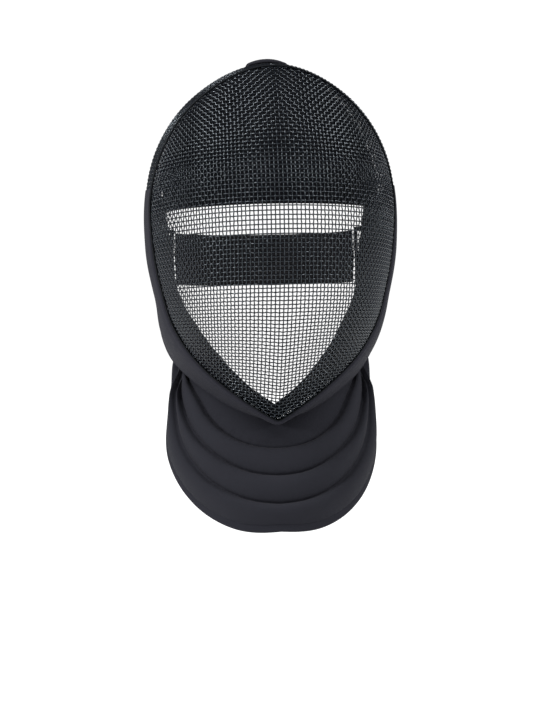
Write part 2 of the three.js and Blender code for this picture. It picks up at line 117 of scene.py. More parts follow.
class Shader:
    """A material with one Principled shader, and the nodes that feed it.

    A Mix node has sockets of one name for each kind of value, so its colours go by number.
    """

    MIX_A, MIX_B, MIX_RESULT = 6, 7, 2
    NOISE_ROUGHNESS = 0.55

    def __init__(self, name: str) -> None:
        """Makes the material.

        Args:
            name: the finish's name.
        """
        self.material = bpy.data.materials.new(name)
        self.material.use_nodes = True
        self.tree = self.material.node_tree
        self.tree.nodes.clear()
        self.surface = self.node("ShaderNodeBsdfPrincipled")
        out = self.node("ShaderNodeOutputMaterial")
        self.tree.links.new(self.surface.outputs[0], out.inputs["Surface"])

    def node(
        self,
        kind: str,
        settings: dict[str, object] | None = None,
        sockets: dict[int | str, object] | None = None,
    ) -> bpy.types.Node:
        """Adds a node.

        Args:
            kind: the node's type.
            settings: its properties, set first.
            sockets: a value, a Value or a socket for each input, by number or name.

        Returns:
            The node.
        """
        made = self.tree.nodes.new(kind)
        for key, value in (settings or {}).items():
            setattr(made, key, value)
        for key, value in (sockets or {}).items():
            self.feed(made.inputs[key], value)
        return made

    def feed(self, socket: bpy.types.NodeSocket, value: object) -> None:
        """Links or sets one input."""
        if isinstance(value, Value):
            self.tree.links.new(value.socket, socket)
        elif isinstance(value, bpy.types.NodeSocket):
            self.tree.links.new(value, socket)
        else:
            socket.default_value = value

    def set(self, **values: object) -> None:
        """Sets the Principled shader's inputs, underscores standing for spaces."""
        for key, value in values.items():
            self.feed(self.surface.inputs[key.replace("_", " ")], value)

    def place(self, on_cloth: bool) -> bpy.types.NodeSocket:
        """Coordinates in metres: along the cloth itself, or in the mask's frame."""
        node = self.node("ShaderNodeTexCoord")
        return node.outputs["UV" if on_cloth else "Object"]

    def parts(self, vector: bpy.types.NodeSocket) -> tuple[Value, Value]:
        """The first two parts of a vector."""
        node = self.node("ShaderNodeSeparateXYZ", sockets={0: vector})
        return Value(self, node.outputs[0]), Value(self, node.outputs[1])

    def noise(self, at: bpy.types.NodeSocket, size: float, detail: float = 2.0) -> Value:
        """Noise from 0 to 1.

        Args:
            at: the coordinates, in metres.
            size: its grain, in metres.
            detail: how many finer layers it has.

        Returns:
            The noise.
        """
        node = self.node(
            "ShaderNodeTexNoise",
            {"noise_dimensions": "3D"},
            {"Vector": at, "Scale": 1 / size, "Detail": detail, "Roughness": self.NOISE_ROUGHNESS},
        )
        return Value(self, node.outputs["Fac"])

    def blend(self, share: Value, a: Sequence[float], b: Sequence[float]) -> bpy.types.NodeSocket:
        """A colour between two.

        Args:
            share: how much of b there is, from 0 to 1.
            a: the first colour.
            b: the second colour.

        Returns:
            The mixed colour's socket.
        """
        sockets = {"Factor": share, self.MIX_A: (*a, 1), self.MIX_B: (*b, 1)}
        return self.node("ShaderNodeMix", {"data_type": "RGBA"}, sockets).outputs[self.MIX_RESULT]

    def bump(self, height: Value, depth: float) -> None:
        """Feeds a height from 0 to 1 to the surface's normal.

        Args:
            height: the relief.
            depth: its full height, in metres.
        """
        sockets = {"Height": height, "Distance": depth, "Strength": 1.0}
        self.set(Normal=self.node("ShaderNodeBump", sockets=sockets).outputs[0])


@dataclass(frozen=True)
class WireCoat:
    """Black coating on steel wire or strip. Sizes of its clouds and grain are in metres."""

    name: str
    colour: tuple[float, float, float]
    worn: tuple[float, float, float]
    roughness: float
    gloss: float = 0.55
    glint: tuple[float, float, float, float] = (0.82, 0.92, 1.0, 1.0)
    cloud: float = 0.012
    grain: float = 0.0006
    grain_detail: int = 3
    unevenness: float = 0.16
    relief: float = 0.00001

    def make(self) -> bpy.types.Material:
        """The material, clouded and grained."""
        shader = Shader(self.name)
        at = shader.place(on_cloth=False)
        cloud = shader.noise(at, self.cloud)
        grain = shader.noise(at, self.grain, self.grain_detail)
        shader.set(
            Base_Color=shader.blend(cloud, self.colour, self.worn),
            Roughness=self.roughness + self.unevenness * (grain - 0.5),
            Specular_IOR_Level=self.gloss,
            Specular_Tint=self.glint,
        )
        shader.bump(grain, self.relief)
        return shader.material


class Weave(Enum):
    """How a cloth's threads run."""

    PLAIN = "plain"
    TWILL = "twill"
    RIBBED = "ribbed"
    BRUSHED = "brushed"


@dataclass(frozen=True)
class Cloth:
    """Dyed cloth. Colours are for the tops of the threads and for the gaps between them, the darker gap
    colour being painted shade in the hollows between threads.

    The pitch of its threads, the depth of its relief, its fuzz and its clouds are in metres.
    """

    name: str
    top: tuple[float, float, float]
    gap: tuple[float, float, float]
    weave: Weave
    pitch: float
    depth: float
    sheen: float = 0.015
    sheen_roughness: float = 0.5
    specular: float = 0.1
    roughness: float = 0.85
    unevenness: float = 0.1
    fuzz: float = 0.0009
    fuzz_detail: int = 3
    fuzz_share: float = 0.25
    cloud: float = 0.03
    cloud_detail: int = 4
    cloud_share: float = 0.3

    def threads(self, shader: Shader, at: bpy.types.NodeSocket) -> Value:
        """The relief of the weave.

        Args:
            shader: the cloth's shader.
            at: coordinates along the cloth.

        Returns:
            Its height, from 0 between the threads to 1 on them.
        """
        along, across = shader.parts(at)
        turn = 2 * math.pi / self.pitch
        if self.weave is Weave.TWILL:
            ribs, threads = (turn * (along + across)).sine(), (2 * turn * (across - along)).sine()
            return 0.5 + 0.35 * ribs + 0.15 * threads
        if self.weave is Weave.RIBBED:
            return 0.5 + 0.4 * (turn * across).sine() + 0.1 * (0.6 * turn * along).sine()
        if self.weave is Weave.BRUSHED:
            return shader.noise(at, self.pitch, self.cloud_detail)
        return 0.5 + 0.5 * (turn * along).sine() * (turn * across).sine()

    def make(self) -> bpy.types.Material:
        """The material: threads and fuzz on them, with painted shade in their hollows, and slow clouds
        of random tone.
        """
        shader = Shader(self.name)
        at = shader.place(on_cloth=True)
        fuzz = shader.noise(at, self.fuzz, self.fuzz_detail)
        relief = (1 - self.fuzz_share) * self.threads(shader, at) + self.fuzz_share * fuzz
        clouds = shader.noise(at, self.cloud, self.cloud_detail)
        # Painted shade: the colour runs from the gap colour in the hollows of the relief to the top
        # colour on it, with the clouds mixed in as random tone.
        shade = (1 - self.cloud_share) * relief + self.cloud_share * clouds
        shader.set(
            Base_Color=shader.blend(shade, self.gap, self.top),
            Roughness=self.roughness + self.unevenness * (fuzz - 0.5),
            Specular_IOR_Level=self.specular,
            Sheen_Weight=self.sheen,
            Sheen_Roughness=self.sheen_roughness,
        )
        shader.bump(relief, self.depth)
        return shader.material


@dataclass(frozen=True)
class Backdrop:
    """The floor's plain pale finish, with faint clouds whose size is in metres."""

    name: str
    colour: tuple[float, float, float]
    cloud: float = 0.4
    lighter: float = 1.02
    roughness: float = 0.9

    def make(self) -> bpy.types.Material:
        """The material."""
        shader = Shader(self.name)
        clouds = shader.noise(shader.place(on_cloth=False), self.cloud)
        lighter = tuple(min(c * self.lighter, 1) for c in self.colour)
        shader.set(Base_Color=shader.blend(clouds, self.colour, lighter), Roughness=self.roughness)
        return shader.material


class Finish(Enum):
    """Every finish on the mask, and the floor's."""

    WIRE = WireCoat("wire_coat", (0.0028, 0.0036, 0.006), (0.005, 0.0062, 0.0095), 0.18)
    STRIP = WireCoat("strip_coat", (0.002, 0.0022, 0.003), (0.004, 0.0042, 0.0055), 0.6, 0.15)
    STEEL = WireCoat("steel_coat", (0.012, 0.012, 0.013), (0.02, 0.02, 0.021), 0.25)
    # Each cloth's second colour is darker: painted shade for the gaps between its threads.
    COVER = Cloth(
        "cover_weave", (0.021, 0.0212, 0.028), (0.012, 0.0122, 0.017), Weave.TWILL, 0.0007, 0.00008
    )
    BIB = Cloth(
        "bib_weave", (0.018, 0.0184, 0.024), (0.010, 0.0102, 0.014), Weave.PLAIN, 0.0008, 0.00008
    )
    LINING = Cloth(
        "lining_felt", (0.004, 0.0045, 0.0064), (0.0016, 0.0018, 0.0027), Weave.BRUSHED, 0.0005, 0.0001
    )
    ELASTIC = Cloth(
        "elastic_ribs", (0.016, 0.016, 0.018), (0.006, 0.006, 0.007), Weave.RIBBED, 0.0016, 0.0002
    )
    TAPE = Cloth(
        "tape_ribs", (0.017, 0.0174, 0.023), (0.009, 0.0092, 0.013), Weave.RIBBED, 0.0009, 0.0001
    )
    THREAD = Cloth(
        "thread", (0.022, 0.022, 0.025), (0.010, 0.010, 0.012), Weave.TWILL, 0.0004, 0.00004
    )
    FLOOR = Backdrop("floor", (0.96, 0.96, 0.96))

    def on(self, piece: bpy.types.Object) -> None:
        """Dresses a piece, making the material the first time."""
        material = bpy.data.materials.get(self.value.name) or self.value.make()
        piece.data.materials.clear()
        piece.data.materials.append(material)


# ---------------------------------------------------------------------------------------------
# Meshes
# ---------------------------------------------------------------------------------------------


def deselect() -> None:
    """Deselects everything, in object mode."""
    if bpy.context.mode != "OBJECT":
        bpy.ops.object.mode_set(mode="OBJECT")
    bpy.ops.object.select_all(action="DESELECT")


def pick(piece: bpy.types.Object) -> bpy.types.Object:
    """Makes that piece the only selected and active one."""
    deselect()
    piece.select_set(True)
    bpy.context.view_layer.objects.active = piece
    return piece


def apply(piece: bpy.types.Object, kind: str, **settings: object) -> None:
    """Adds a modifier and applies it.

    Args:
        piece: the piece.
        kind: the modifier's type.
        settings: its properties.
    """
    pick(piece)
    modifier = piece.modifiers.new(kind.title(), kind)
    for key, value in settings.items():
        setattr(modifier, key, value)
    bpy.ops.object.modifier_apply(modifier=modifier.name)


def coordinates(piece: bpy.types.Object) -> Array:
    """The mesh's points, in metres."""
    flat = np.empty(len(piece.data.vertices) * 3)
    piece.data.vertices.foreach_get("co", flat)
    return flat.reshape(-1, 3)


def place(piece: bpy.types.Object, points: Array) -> None:
    """Moves the mesh's points."""
    piece.data.vertices.foreach_set("co", np.ascontiguousarray(points, float).ravel())
    piece.data.update()


def face_outwards(piece: bpy.types.Object) -> None:
    """Turns a closed mesh's faces outwards, and shades it smooth."""
    mesh = bmesh.new()
    mesh.from_mesh(piece.data)
    if mesh.calc_volume(signed=True) < 0:
        bmesh.ops.reverse_faces(mesh, faces=mesh.faces)
    mesh.to_mesh(piece.data)
    mesh.free()
    piece.data.shade_smooth()


def unit(vectors: Array) -> Array:
    """The vectors at length 1."""
    return vectors / np.maximum(np.linalg.norm(vectors, axis=-1, keepdims=True), 1e-12)


def along_path(path: Array) -> Array:
    """How far along a path each of its points is."""
    return np.concatenate([[0], np.linalg.norm(np.diff(path, axis=0), axis=1).cumsum()])


def length_of(path: Array) -> float:
    """A path's whole length."""
    return float(np.linalg.norm(np.diff(path, axis=0), axis=1).sum())


def eased(share: Array, edge: float) -> Array:
    """0 at both ends of 0..1 and 1 past an edge that wide, along a quarter circle."""
    near = np.clip(np.minimum(share, 1 - share) / edge, 0, 1)
    return np.sqrt(1 - (1 - near) ** 2)


def finer_at_ends(share: Array, pull: float) -> Array:
    """Moves steps from 0 to 1 towards both ends, so that rims have more of them."""
    return (1 - pull) * share + pull * (1 - np.cos(np.pi * share)) / 2


def shell(
    name: str, rule: FaceRule, steps: tuple[int, int], ring: bool = False, pull: float = 0.0
) -> bpy.types.Object:
    """A closed wall between two faces, from a grid given a thickness.

    Args:
        name: the piece's name.
        rule: gives points in mm for u and v from 0 to 1 and side 1 (outer) or 0 (inner).
        steps: how many cells it has along u and v.
        ring: whether u = 1 joins u = 0.
        pull: how far the steps along v are drawn towards its ends.

    Returns:
        The piece, with a UV map in metres along the cloth.
    """
    digits = 5
    deselect()
    bpy.ops.mesh.primitive_grid_add(x_subdivisions=steps[0], y_subdivisions=steps[1], size=2)
    piece = bpy.context.object
    piece.name = piece.data.name = name
    flat = coordinates(piece)
    u, v = (flat[:, 0] + 1) / 2, (flat[:, 1] + 1) / 2
    columns, rows = len(np.unique(u.round(digits))), len(np.unique(v.round(digits)))
    v = finer_at_ends(v, pull)
    for label, values in (("along", u), ("down", v)):
        piece.data.attributes.new(label, "FLOAT", "POINT").data.foreach_set("value", values)
    outer = rule(u, v, 1)
    order = np.lexsort((u.round(digits), v.round(digits)))
    lay_uv(piece, outer * MM, order, rows, columns)
    place(piece, outer * MM)
    if ring:
        pick(piece)
        bpy.ops.object.mode_set(mode="EDIT")
        bpy.ops.mesh.select_all(action="SELECT")
        bpy.ops.mesh.remove_doubles(threshold=SAME_PLACE)
        bpy.ops.object.mode_set(mode="OBJECT")
    apply(piece, "SOLIDIFY", thickness=FIRST_WALL, offset=-1.0, use_rim=True)
    half = len(piece.data.vertices) // 2
    read = {}
    for label in ("along", "down"):
        values = np.empty(2 * half)
        piece.data.attributes[label].data.foreach_get("value", values)
        read[label] = values[:half]
    u, v = read["along"], read["down"]
    place(piece, np.concatenate([rule(u, v, 1), rule(u, v, 0)]) * MM)
    face_outwards(piece)
    for label in ("along", "down"):
        piece.data.attributes.remove(piece.data.attributes[label])
    return piece


def lay_uv(piece: bpy.types.Object, points: Array, order: Array, rows: int, columns: int) -> None:
    """Gives a grid a UV map whose units are metres along its own surface.

    Args:
        piece: the grid, whose corners are still one to a point.
        points: its points once shaped, in metres.
        order: the points' numbers, row by row.
        rows: how many rows there are.
        columns: how many columns there are.
    """
    laid = points[order].reshape(rows, columns, 3)
    run = np.linalg.norm(np.diff(laid, axis=1), axis=2)
    along = np.concatenate([np.zeros((rows, 1)), run.cumsum(axis=1)], axis=1)
    along -= along[:, columns // 2][:, None]
    fall = np.linalg.norm(np.diff(laid, axis=0), axis=2)
    down = np.concatenate([np.zeros((1, columns)), fall.cumsum(axis=0)], axis=0)
    uv = np.empty((len(points), 2))
    uv[order] = np.stack([along.ravel(), down.ravel()], axis=1)
    corners = np.empty(len(piece.data.loops), int)
    piece.data.loops.foreach_get("vertex_index", corners)
    layer = piece.data.uv_layers.active or piece.data.uv_layers.new(name="UVMap")
    layer.data.foreach_set("uv", uv[corners].ravel())


def from_arrays(
    name: str, points: Array, faces: Iterable[Sequence[int]], uv: Array | None = None
) -> bpy.types.Object:
    """A piece from its points, in mm, and faces.

    Args:
        name: the piece's name.
        points: its points.
        faces: the points of each face.
        uv: a coordinate pair for each point, in metres.

    Returns:
        The piece, shaded smooth.
    """
    mesh = bpy.data.meshes.new(name)
    mesh.from_pydata((points * MM).tolist(), [], [list(f) for f in faces])
    if uv is not None:
        corners = np.empty(len(mesh.loops), int)
        mesh.loops.foreach_get("vertex_index", corners)
        mesh.uv_layers.new(name="UVMap").data.foreach_set("uv", uv[corners].ravel())
    mesh.shade_smooth()
    piece = bpy.data.objects.new(name, mesh)
    bpy.context.scene.collection.objects.link(piece)
    return piece


def wires(
    name: str, runs: list[tuple[Array, Array]], radius: float, sides: int
) -> bpy.types.Object:
    """Round wires joined as one piece.

    Args:
        name: the piece's name.
        runs: for each wire, the points of its middle in mm and the direction off the mesh there.
        radius: of the wire, in mm.
        sides: how many sides its section has.

    Returns:
        The piece.
    """
    turn = np.arange(sides) * 2 * math.pi / sides
    all_points, all_faces, start = [], [], 0
    for middle, off in runs:
        tangent = unit(np.gradient(middle, axis=0))
        beside = unit(np.cross(tangent, off))
        up = np.cross(beside, tangent)
        ring = (
            middle[:, None]
            + radius * np.cos(turn)[None, :, None] * up[:, None]
            + radius * np.sin(turn)[None, :, None] * beside[:, None]
        )
        count = len(middle)
        at = start + np.arange(count * sides).reshape(count, sides)
        nxt = np.roll(at, -1, axis=1)
        quads = np.stack([at[:-1], nxt[:-1], nxt[1:], at[1:]], axis=-1).reshape(-1, 4)
        all_points.append(ring.reshape(-1, 3))
        all_faces += quads.tolist()
        all_faces += [at[0][::-1].tolist(), at[-1].tolist()]
        start += count * sides
    return from_arrays(name, np.concatenate(all_points), all_faces)


@dataclass(frozen=True)
class Stitch:
    """Thread in flattened grains. Its length, the gap to the next and its width are in mm."""

    length: float = 2.6
    gap: float = 0.9
    width: float = 0.5
    stations: tuple[float, ...] = (-0.5, -0.36, 0.0, 0.36, 0.5)
    girth: tuple[float, ...] = (0.25, 0.85, 1.0, 0.85, 0.25)
    sides: int = 6

    def grain(self) -> list[list[int]]:
        """The faces of one stitch, closed at both ends."""
        one = np.arange(len(self.stations) * self.sides).reshape(-1, self.sides)
        nxt = np.roll(one, -1, axis=1)
        quads = np.stack([one[:-1], nxt[:-1], nxt[1:], one[1:]], axis=-1).reshape(-1, 4)
        return quads.tolist() + [one[0][::-1].tolist(), one[-1].tolist()]

    def row(self, name: str, path: Array, off: Array) -> bpy.types.Object:
        """A row of stitches.

        Args:
            name: the piece's name.
            path: points along the row, in mm.
            off: the direction off the cloth at each point.

        Returns:
            The piece, its stitches joined.
        """
        run = along_path(path)
        centres = np.arange(self.length, run[-1] - self.length, self.length + self.gap)

        def read(values: Array, distance: Array) -> Array:
            """Values given along the path, at those distances along it."""
            return np.stack([np.interp(distance, run, values[:, k]) for k in range(3)], axis=-1)

        middle, lean = read(path, centres), unit(read(off, centres))
        half = self.length / 2
        tangent = unit(read(path, centres + half) - read(path, centres - half))
        beside = np.cross(tangent, lean)
        stations, girth = np.array(self.stations), np.array(self.girth)[:, None]
        turn = np.arange(self.sides) * 2 * math.pi / self.sides
        points = (
            middle[:, None, None]
            + tangent[:, None, None] * (stations * self.length)[None, :, None, None]
            + beside[:, None, None] * (self.width / 2 * girth * np.cos(turn))[None, :, :, None]
            + lean[:, None, None] * (self.width / 2 * girth * np.sin(turn))[None, :, :, None]
        )
        grain, size = self.grain(), stations.size * self.sides
        faces = [[i + size * k for i in face] for k in range(len(middle)) for face in grain]
        shape = points.shape[:3]
        along = np.broadcast_to(centres[:, None, None] + (stations * self.length)[None, :, None], shape)
        girdle = np.broadcast_to(turn, shape) * self.width / 2
        uv = np.stack([along * MM, girdle * MM], axis=-1)
        return from_arrays(name, points.reshape(-1, 3), faces, uv.reshape(-1, 2))

    def sew(self, name: str, path: Array, off: Array, slot: str) -> None:
        """Makes a row of stitches and dresses it.

        Args:
            name: the piece's name.
            path: points along the row, in mm.
            off: the direction off the cloth at each point.
            slot: what it is sewn in; not used.
        """
        finish_piece(self.row(name, path, off), Finish.THREAD)


def tape_section(lip: tuple[float, float], mouth: tuple[float, float], fold: float) -> Array:
    """The section of a folded tape: two legs, and a half round between them.

    Args:
        lip: how far past the edge and off the cloth the tape's own edges are, in mm.
        mouth: the same where its legs leave the cloth.
        fold: how far past the edge the half round starts, in mm.

    Returns:
        Pairs of distances past the edge and off the cloth.
    """
    turn = np.linspace(-np.pi / 2, np.pi / 2, 9)
    bend = np.stack([fold + 1.7 * np.cos(turn), 1.75 * np.sin(turn)], axis=-1)
    legs = np.array([lip, mouth])
    return np.concatenate([legs * (1, -1), bend, legs[::-1]])


def folded_tape(
    name: str, path: Array, across: Array, off: Array, section: Array, wall: float, ring: bool
) -> bpy.types.Object:
    """A tape folded round an edge.

    Args:
        name: the piece's name.
        path: points along the edge, in mm.
        across: the direction away from the cloth at each point.
        off: the direction off the cloth's outer face at each point.
        section: pairs of distances along across and off, from one edge of the tape to the other.
        wall: the tape's thickness, in mm.
        ring: whether its ends meet.

    Returns:
        The piece, with a UV map in metres.
    """
    out, up = section[None, :, :1], section[None, :, 1:]
    points = path[:, None] + across[:, None] * out + off[:, None] * up
    rows, columns = points.shape[:2]
    at = np.arange(rows * columns).reshape(rows, columns)
    if ring:
        after = np.roll(at, -1, axis=0)
    else:
        after, at = at[1:], at[:-1]
    quads = np.stack([at[:, :-1], at[:, 1:], after[:, 1:], after[:, :-1]], axis=-1).reshape(-1, 4)
    sides = np.meshgrid(along_path(path), along_path(section), indexing="ij")
    uv = np.stack(sides, axis=-1).reshape(-1, 2) * MM
    piece = from_arrays(name, points.reshape(-1, 3), quads.tolist(), uv)
    apply(piece, "SOLIDIFY", thickness=wall * MM, offset=0.0, use_rim=True)
    face_outwards(piece)
    return piece


def finish_piece(
    piece: bpy.types.Object, finish: Finish, replaces: Sequence[str] = ()
) -> bpy.types.Object:
    """Dresses a piece, rides it on the mask and reports it.

    Args:
        piece: the piece.
        finish: what it is made of.
        replaces: the CAD nodes that it stands for.

    Returns:
        The piece.
    """
    finish.on(piece)
    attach(piece, "root")
    if replaces:
        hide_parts(*replaces)
    triangles = sum(len(face.vertices) - 2 for face in piece.data.polygons)
    LOG.info("%s: %d triangles", piece.name, triangles)
    return piece


# ---------------------------------------------------------------------------------------------
# The mask's form
# ---------------------------------------------------------------------------------------------


def smooth(at: Sequence[float], value: Sequence[float]) -> Callable[[Array], Array]:
    """A smooth function through a table.

    Args:
        at: the knots, rising or falling.
        value: the function there.

    Returns:
        The function, with the slope at each knot taken from its neighbours.
    """
    x, y = np.array(at, float), np.array(value, float)
    if x[-1] < x[0]:
        x, y = x[::-1], y[::-1]
    knot = np.arange(len(x))
    before, after = np.maximum(knot - 1, 0), np.minimum(knot + 1, len(x) - 1)
    slope = (y[after] - y[before]) / (x[after] - x[before])

    def read(where: Array) -> Array:
        """The function's value."""
        i = np.clip(np.searchsorted(x, where) - 1, 0, len(x) - 2)
        span = x[i + 1] - x[i]
        t = np.clip((where - x[i]) / span, 0, 1)
        h = 1 - t
        return (
            y[i] * h * h * (1 + 2 * t)
            + slope[i] * span * t * h * h
            + y[i + 1] * t * t * (3 - 2 * t)
            - slope[i + 1] * span * t * t * h
        )

    return read


def smoothstep(x: Array, low: float, high: float) -> Array:
    """0 below low, 1 above high, smooth between."""
    t = np.clip((x - low) / (high - low), 0, 1)
    return t * t * (3 - 2 * t)


# For each level: half the seam's width and its y, the bowl's front y, how far behind the seam and how
# far out the side mesh bends, its rear edge's y and how far out that is, and the lining's thickness.
SECTIONS = np.array([
    (-2.9, 0.0, -77.0, -77.0, 32, 9.6, 12, 14.2, 7),
    (-4.9, 16.8, -75.6, -79.3, 32, 9.8, 14, 13.4, 7),
    (-13.2, 38.4, -70.2, -88.6, 33, 11.0, 19, 10.6, 7),
    (-30.3, 62.7, -61.0, -104.4, 34, 12.5, 30, 6, 7),
    (-61.3, 85.2, -49.0, -124.8, 35, 13.5, 45, -1, 7),
    (-97.8, 96.1, -38.5, -138.0, 35, 10.5, 56, -4.5, 10),
    (-135.3, 95.6, -35.0, -138.8, 34, 9.5, 57, -6, 13),
    (-173.3, 88.9, -34.0, -127.8, 30, 8.5, 50, -8, 8),
    (-204.9, 78.6, -35.0, -109.4, 25, 7.0, 37, -8, 14),
    (-233.3, 58.6, -38.0, -85.6, 20, 4.0, 20, -7, 13),
    (-260.8, 25.9, -42.0, -59.4, 14, 3.0, 2, -5, 8),
    (-276.4, 0.0, -44.0, -44.0, 12, 2.5, -6, -4, 7),
])
COLUMNS = ("seam_x", "seam_y", "front_y", "bend", "bend_out", "rear_y", "rear_out", "pad")


@dataclass(frozen=True)
class Form:
    """The mask's master surfaces, in mm: the bowl in front of the seam, the side mesh behind it.

    A crease is how folded it is, then the levels where it begins and is full, or the other way round.
    """

    turn_back: float = math.radians(76)
    crown_crease: tuple[float, float, float] = (0.45, -88, -8)
    chin_crease: tuple[float, float, float] = (0.55, -250, -175)
    crease_softness: float = 0.05
    chin_softness: float = 1.5
    outward_step: float = 0.2
    mesh_wall: float = 2.0
    table: dict[str, Callable[[Array], Array]] = field(
        default_factory=lambda: {
            name: smooth(SECTIONS[:, 0], SECTIONS[:, k + 1]) for k, name in enumerate(COLUMNS)
        }
    )

    @property
    def middle(self) -> float:
        """The level half way between the crown and the chin."""
        return (SECTIONS[0, 0] + SECTIONS[-1, 0]) / 2

    @property
    def half_height(self) -> float:
        """Half the height from the chin to the crown."""
        return (SECTIONS[0, 0] - SECTIONS[-1, 0]) / 2

    def plain_outline(self, z: Array) -> Array:
        """The outline that a seam with a round crown and a folded chin has, before it is fitted."""
        down = np.maximum(SECTIONS[0, 0] - z, 0)
        up = np.maximum(z - SECTIONS[-1, 0], 0)
        return np.sqrt(down * (up * up + 2 * self.chin_softness * up))

    @cached_property
    def waist(self) -> Callable[[Array], Array]:
        """What the plain outline is multiplied by at a level, to be as wide as the sections."""
        rows = SECTIONS[1:-1]
        return smooth(rows[:, 0], rows[:, 1] / self.plain_outline(rows[:, 0]))

    def seam_x(self, z: Array) -> Array:
        """Half the seam's width at a level."""
        return self.waist(z) * self.plain_outline(z)

    def bowl_y(self, x: Array, z: Array) -> Array:
        """How far forward the bowl is inside the seam.

        It is round across, and folded at the crown and the chin.

        Args:
            x: across, in the front view.
            z: the level.

        Returns:
            The bowl's y.
        """
        across = np.minimum(np.abs(x) / np.maximum(self.seam_x(z), 1e-6), 1)
        crown = self.crown_crease[0] * smoothstep(z, *self.crown_crease[1:])
        chin = self.chin_crease[0] * (1 - smoothstep(z, *self.chin_crease[1:]))
        fold_share = crown + chin
        round_share = np.log(np.cos(self.turn_back * across)) / math.log(math.cos(self.turn_back))
        soft = self.crease_softness
        fold = (np.hypot(across, soft) - soft) / (math.hypot(1, soft) - soft)
        share = round_share + (fold - round_share) * fold_share
        front, seam = self.table["front_y"](z), self.table["seam_y"](z)
        return front + (seam - front) * share

    def level(self, angle: Array) -> Array:
        """The level at an angle round the seam: 0 at the crown, pi at the chin."""
        return self.middle + self.half_height * np.cos(angle)

    def angle_at(self, level: float) -> float:
        """The angle round the seam at a level, on the wearer's right."""
        return math.acos((level - self.middle) / self.half_height)

    def under_chin(self, level: float, share: Array) -> Array:
        """Angles from a level on one side, round under the chin, to that level on the other."""
        top = self.angle_at(level)
        return top + (2 * np.pi - 2 * top) * share

    def seam_point(self, angle: Array) -> Array:
        """The seam at an angle round it."""
        z = self.level(angle)
        x = -np.sign(np.sin(angle)) * self.seam_x(z)
        return np.stack([x, self.table["seam_y"](z), z], axis=-1)

    def seam_outward(self, angle: Array) -> Array:
        """The direction out of the seam's outline, seen from the front."""
        along = self.seam_point(angle + self.outward_step) - self.seam_point(angle - self.outward_step)
        return unit(np.stack([along[..., 2], np.zeros_like(angle), -along[..., 0]], axis=-1))

    def side_depth(self, angle: Array) -> Array:
        """How deep the side mesh is behind the seam."""
        z = self.level(angle)
        return self.table["rear_y"](z) - self.table["seam_y"](z)

    def side_out(self, angle: Array, behind: Array) -> Array:
        """How far the side mesh stands out from the seam's outline.

        Its section is a curve with one bend, carried straight on behind the rear edge.

        Args:
            angle: round the seam.
            behind: how far behind the seam.

        Returns:
            How far out it is.
        """
        z = self.level(angle)
        deep, bend = self.side_depth(angle), self.table["bend"](z)
        bend_out, rear_out = self.table["bend_out"](z), self.table["rear_out"](z)
        lean = deep - 2 * bend
        even = np.abs(lean) < 1e-6
        reach = np.clip(behind, 0, deep)
        safe = np.where(even, 1, lean)
        curved = (-bend + np.sqrt(np.maximum(bend * bend + safe * reach, 0))) / safe
        t = np.where(even, reach / (2 * bend), curved)
        slope = (rear_out - bend_out) / (deep - bend)
        return 2 * t * (1 - t) * bend_out + t * t * rear_out + (behind - reach) * slope

    def side_point(self, angle: Array, behind: Array, lift: Array | float = 0.0) -> Array:
        """A point near the side mesh.

        Args:
            angle: round the seam.
            behind: how far behind the seam.
            lift: how far off the mesh's outer face.

        Returns:
            The point.
        """
        out = self.side_out(angle, behind) + lift
        point = self.seam_point(angle) + self.seam_outward(angle) * out[..., None]
        point[..., 1] += behind
        return point


FORM = Form()


# ---------------------------------------------------------------------------------------------
# Woven wire
# ---------------------------------------------------------------------------------------------


class Rim:
    """The bowl's outline from the front, and the bowl carried straight on past it."""

    NEAR = 0.97
    STEP = 0.4

    def __init__(self, steps: int = 1440) -> None:
        """Reads the seam into a table by direction from the middle of the face.

        Args:
            steps: how many directions it has.
        """
        angle = np.linspace(0, 2 * np.pi, steps, endpoint=False)
        seam = FORM.seam_point(angle)
        x, z = seam[:, 0], seam[:, 2] - FORM.middle
        heading = np.unwrap(np.arctan2(x, z))
        order = np.argsort(heading % (2 * np.pi))
        self.heading = (heading % (2 * np.pi))[order]
        self.radius = np.hypot(x, z)[order]
        self.y = seam[:, 1][order]
        inner = FORM.bowl_y(x * self.NEAR, FORM.middle + z * self.NEAR)[order]
        self.slope = (self.y - inner) / ((1 - self.NEAR) * self.radius)

    def share(self, x: Array, z: Array) -> tuple[Array, Array, Array, Array]:
        """Where a point of the front view is.

        Args:
            x: across.
            z: the level.

        Returns:
            Its share of the way to the rim, and the rim's radius, y and slope in that direction.
        """
        heading = np.arctan2(x, z - FORM.middle) % (2 * np.pi)
        radius, y, slope = (
            np.interp(heading, self.heading, values, period=2 * np.pi)
            for values in (self.radius, self.y, self.slope)
        )
        return np.hypot(x, z - FORM.middle) / radius, radius, y, slope

    def bowl(self, x: Array, z: Array) -> Array:
        """How far forward the bowl is, on past the rim too.

        Args:
            x: across, in the front view.
            z: the level.

        Returns:
            The bowl's y.
        """
        share, radius, y, slope = self.share(x, z)
        past = y + slope * (share - 1) * radius
        shrink = np.minimum(1, 1 / np.maximum(share, 1e-9))
        inside = FORM.bowl_y(x * shrink, FORM.middle + (z - FORM.middle) * shrink)
        return np.where(share > 1, past, inside)

    def point(self, x: Array, z: Array) -> Array:
        """A point of the bowl."""
        return np.stack([x, self.bowl(x, z), z], axis=-1)

    def outward(self, x: Array, z: Array) -> Array:
        """The direction off the bowl's outer face.

        Args:
            x: across, in the front view.
            z: the level.

        Returns:
            The direction, at length 1.
        """
        step = self.STEP
        slope_x = (self.bowl(x + step, z) - self.bowl(x - step, z)) / (2 * step)
        slope_z = (self.bowl(x, z + step) - self.bowl(x, z - step)) / (2 * step)
        return unit(np.stack([slope_x, -np.ones_like(x), slope_z], axis=-1))


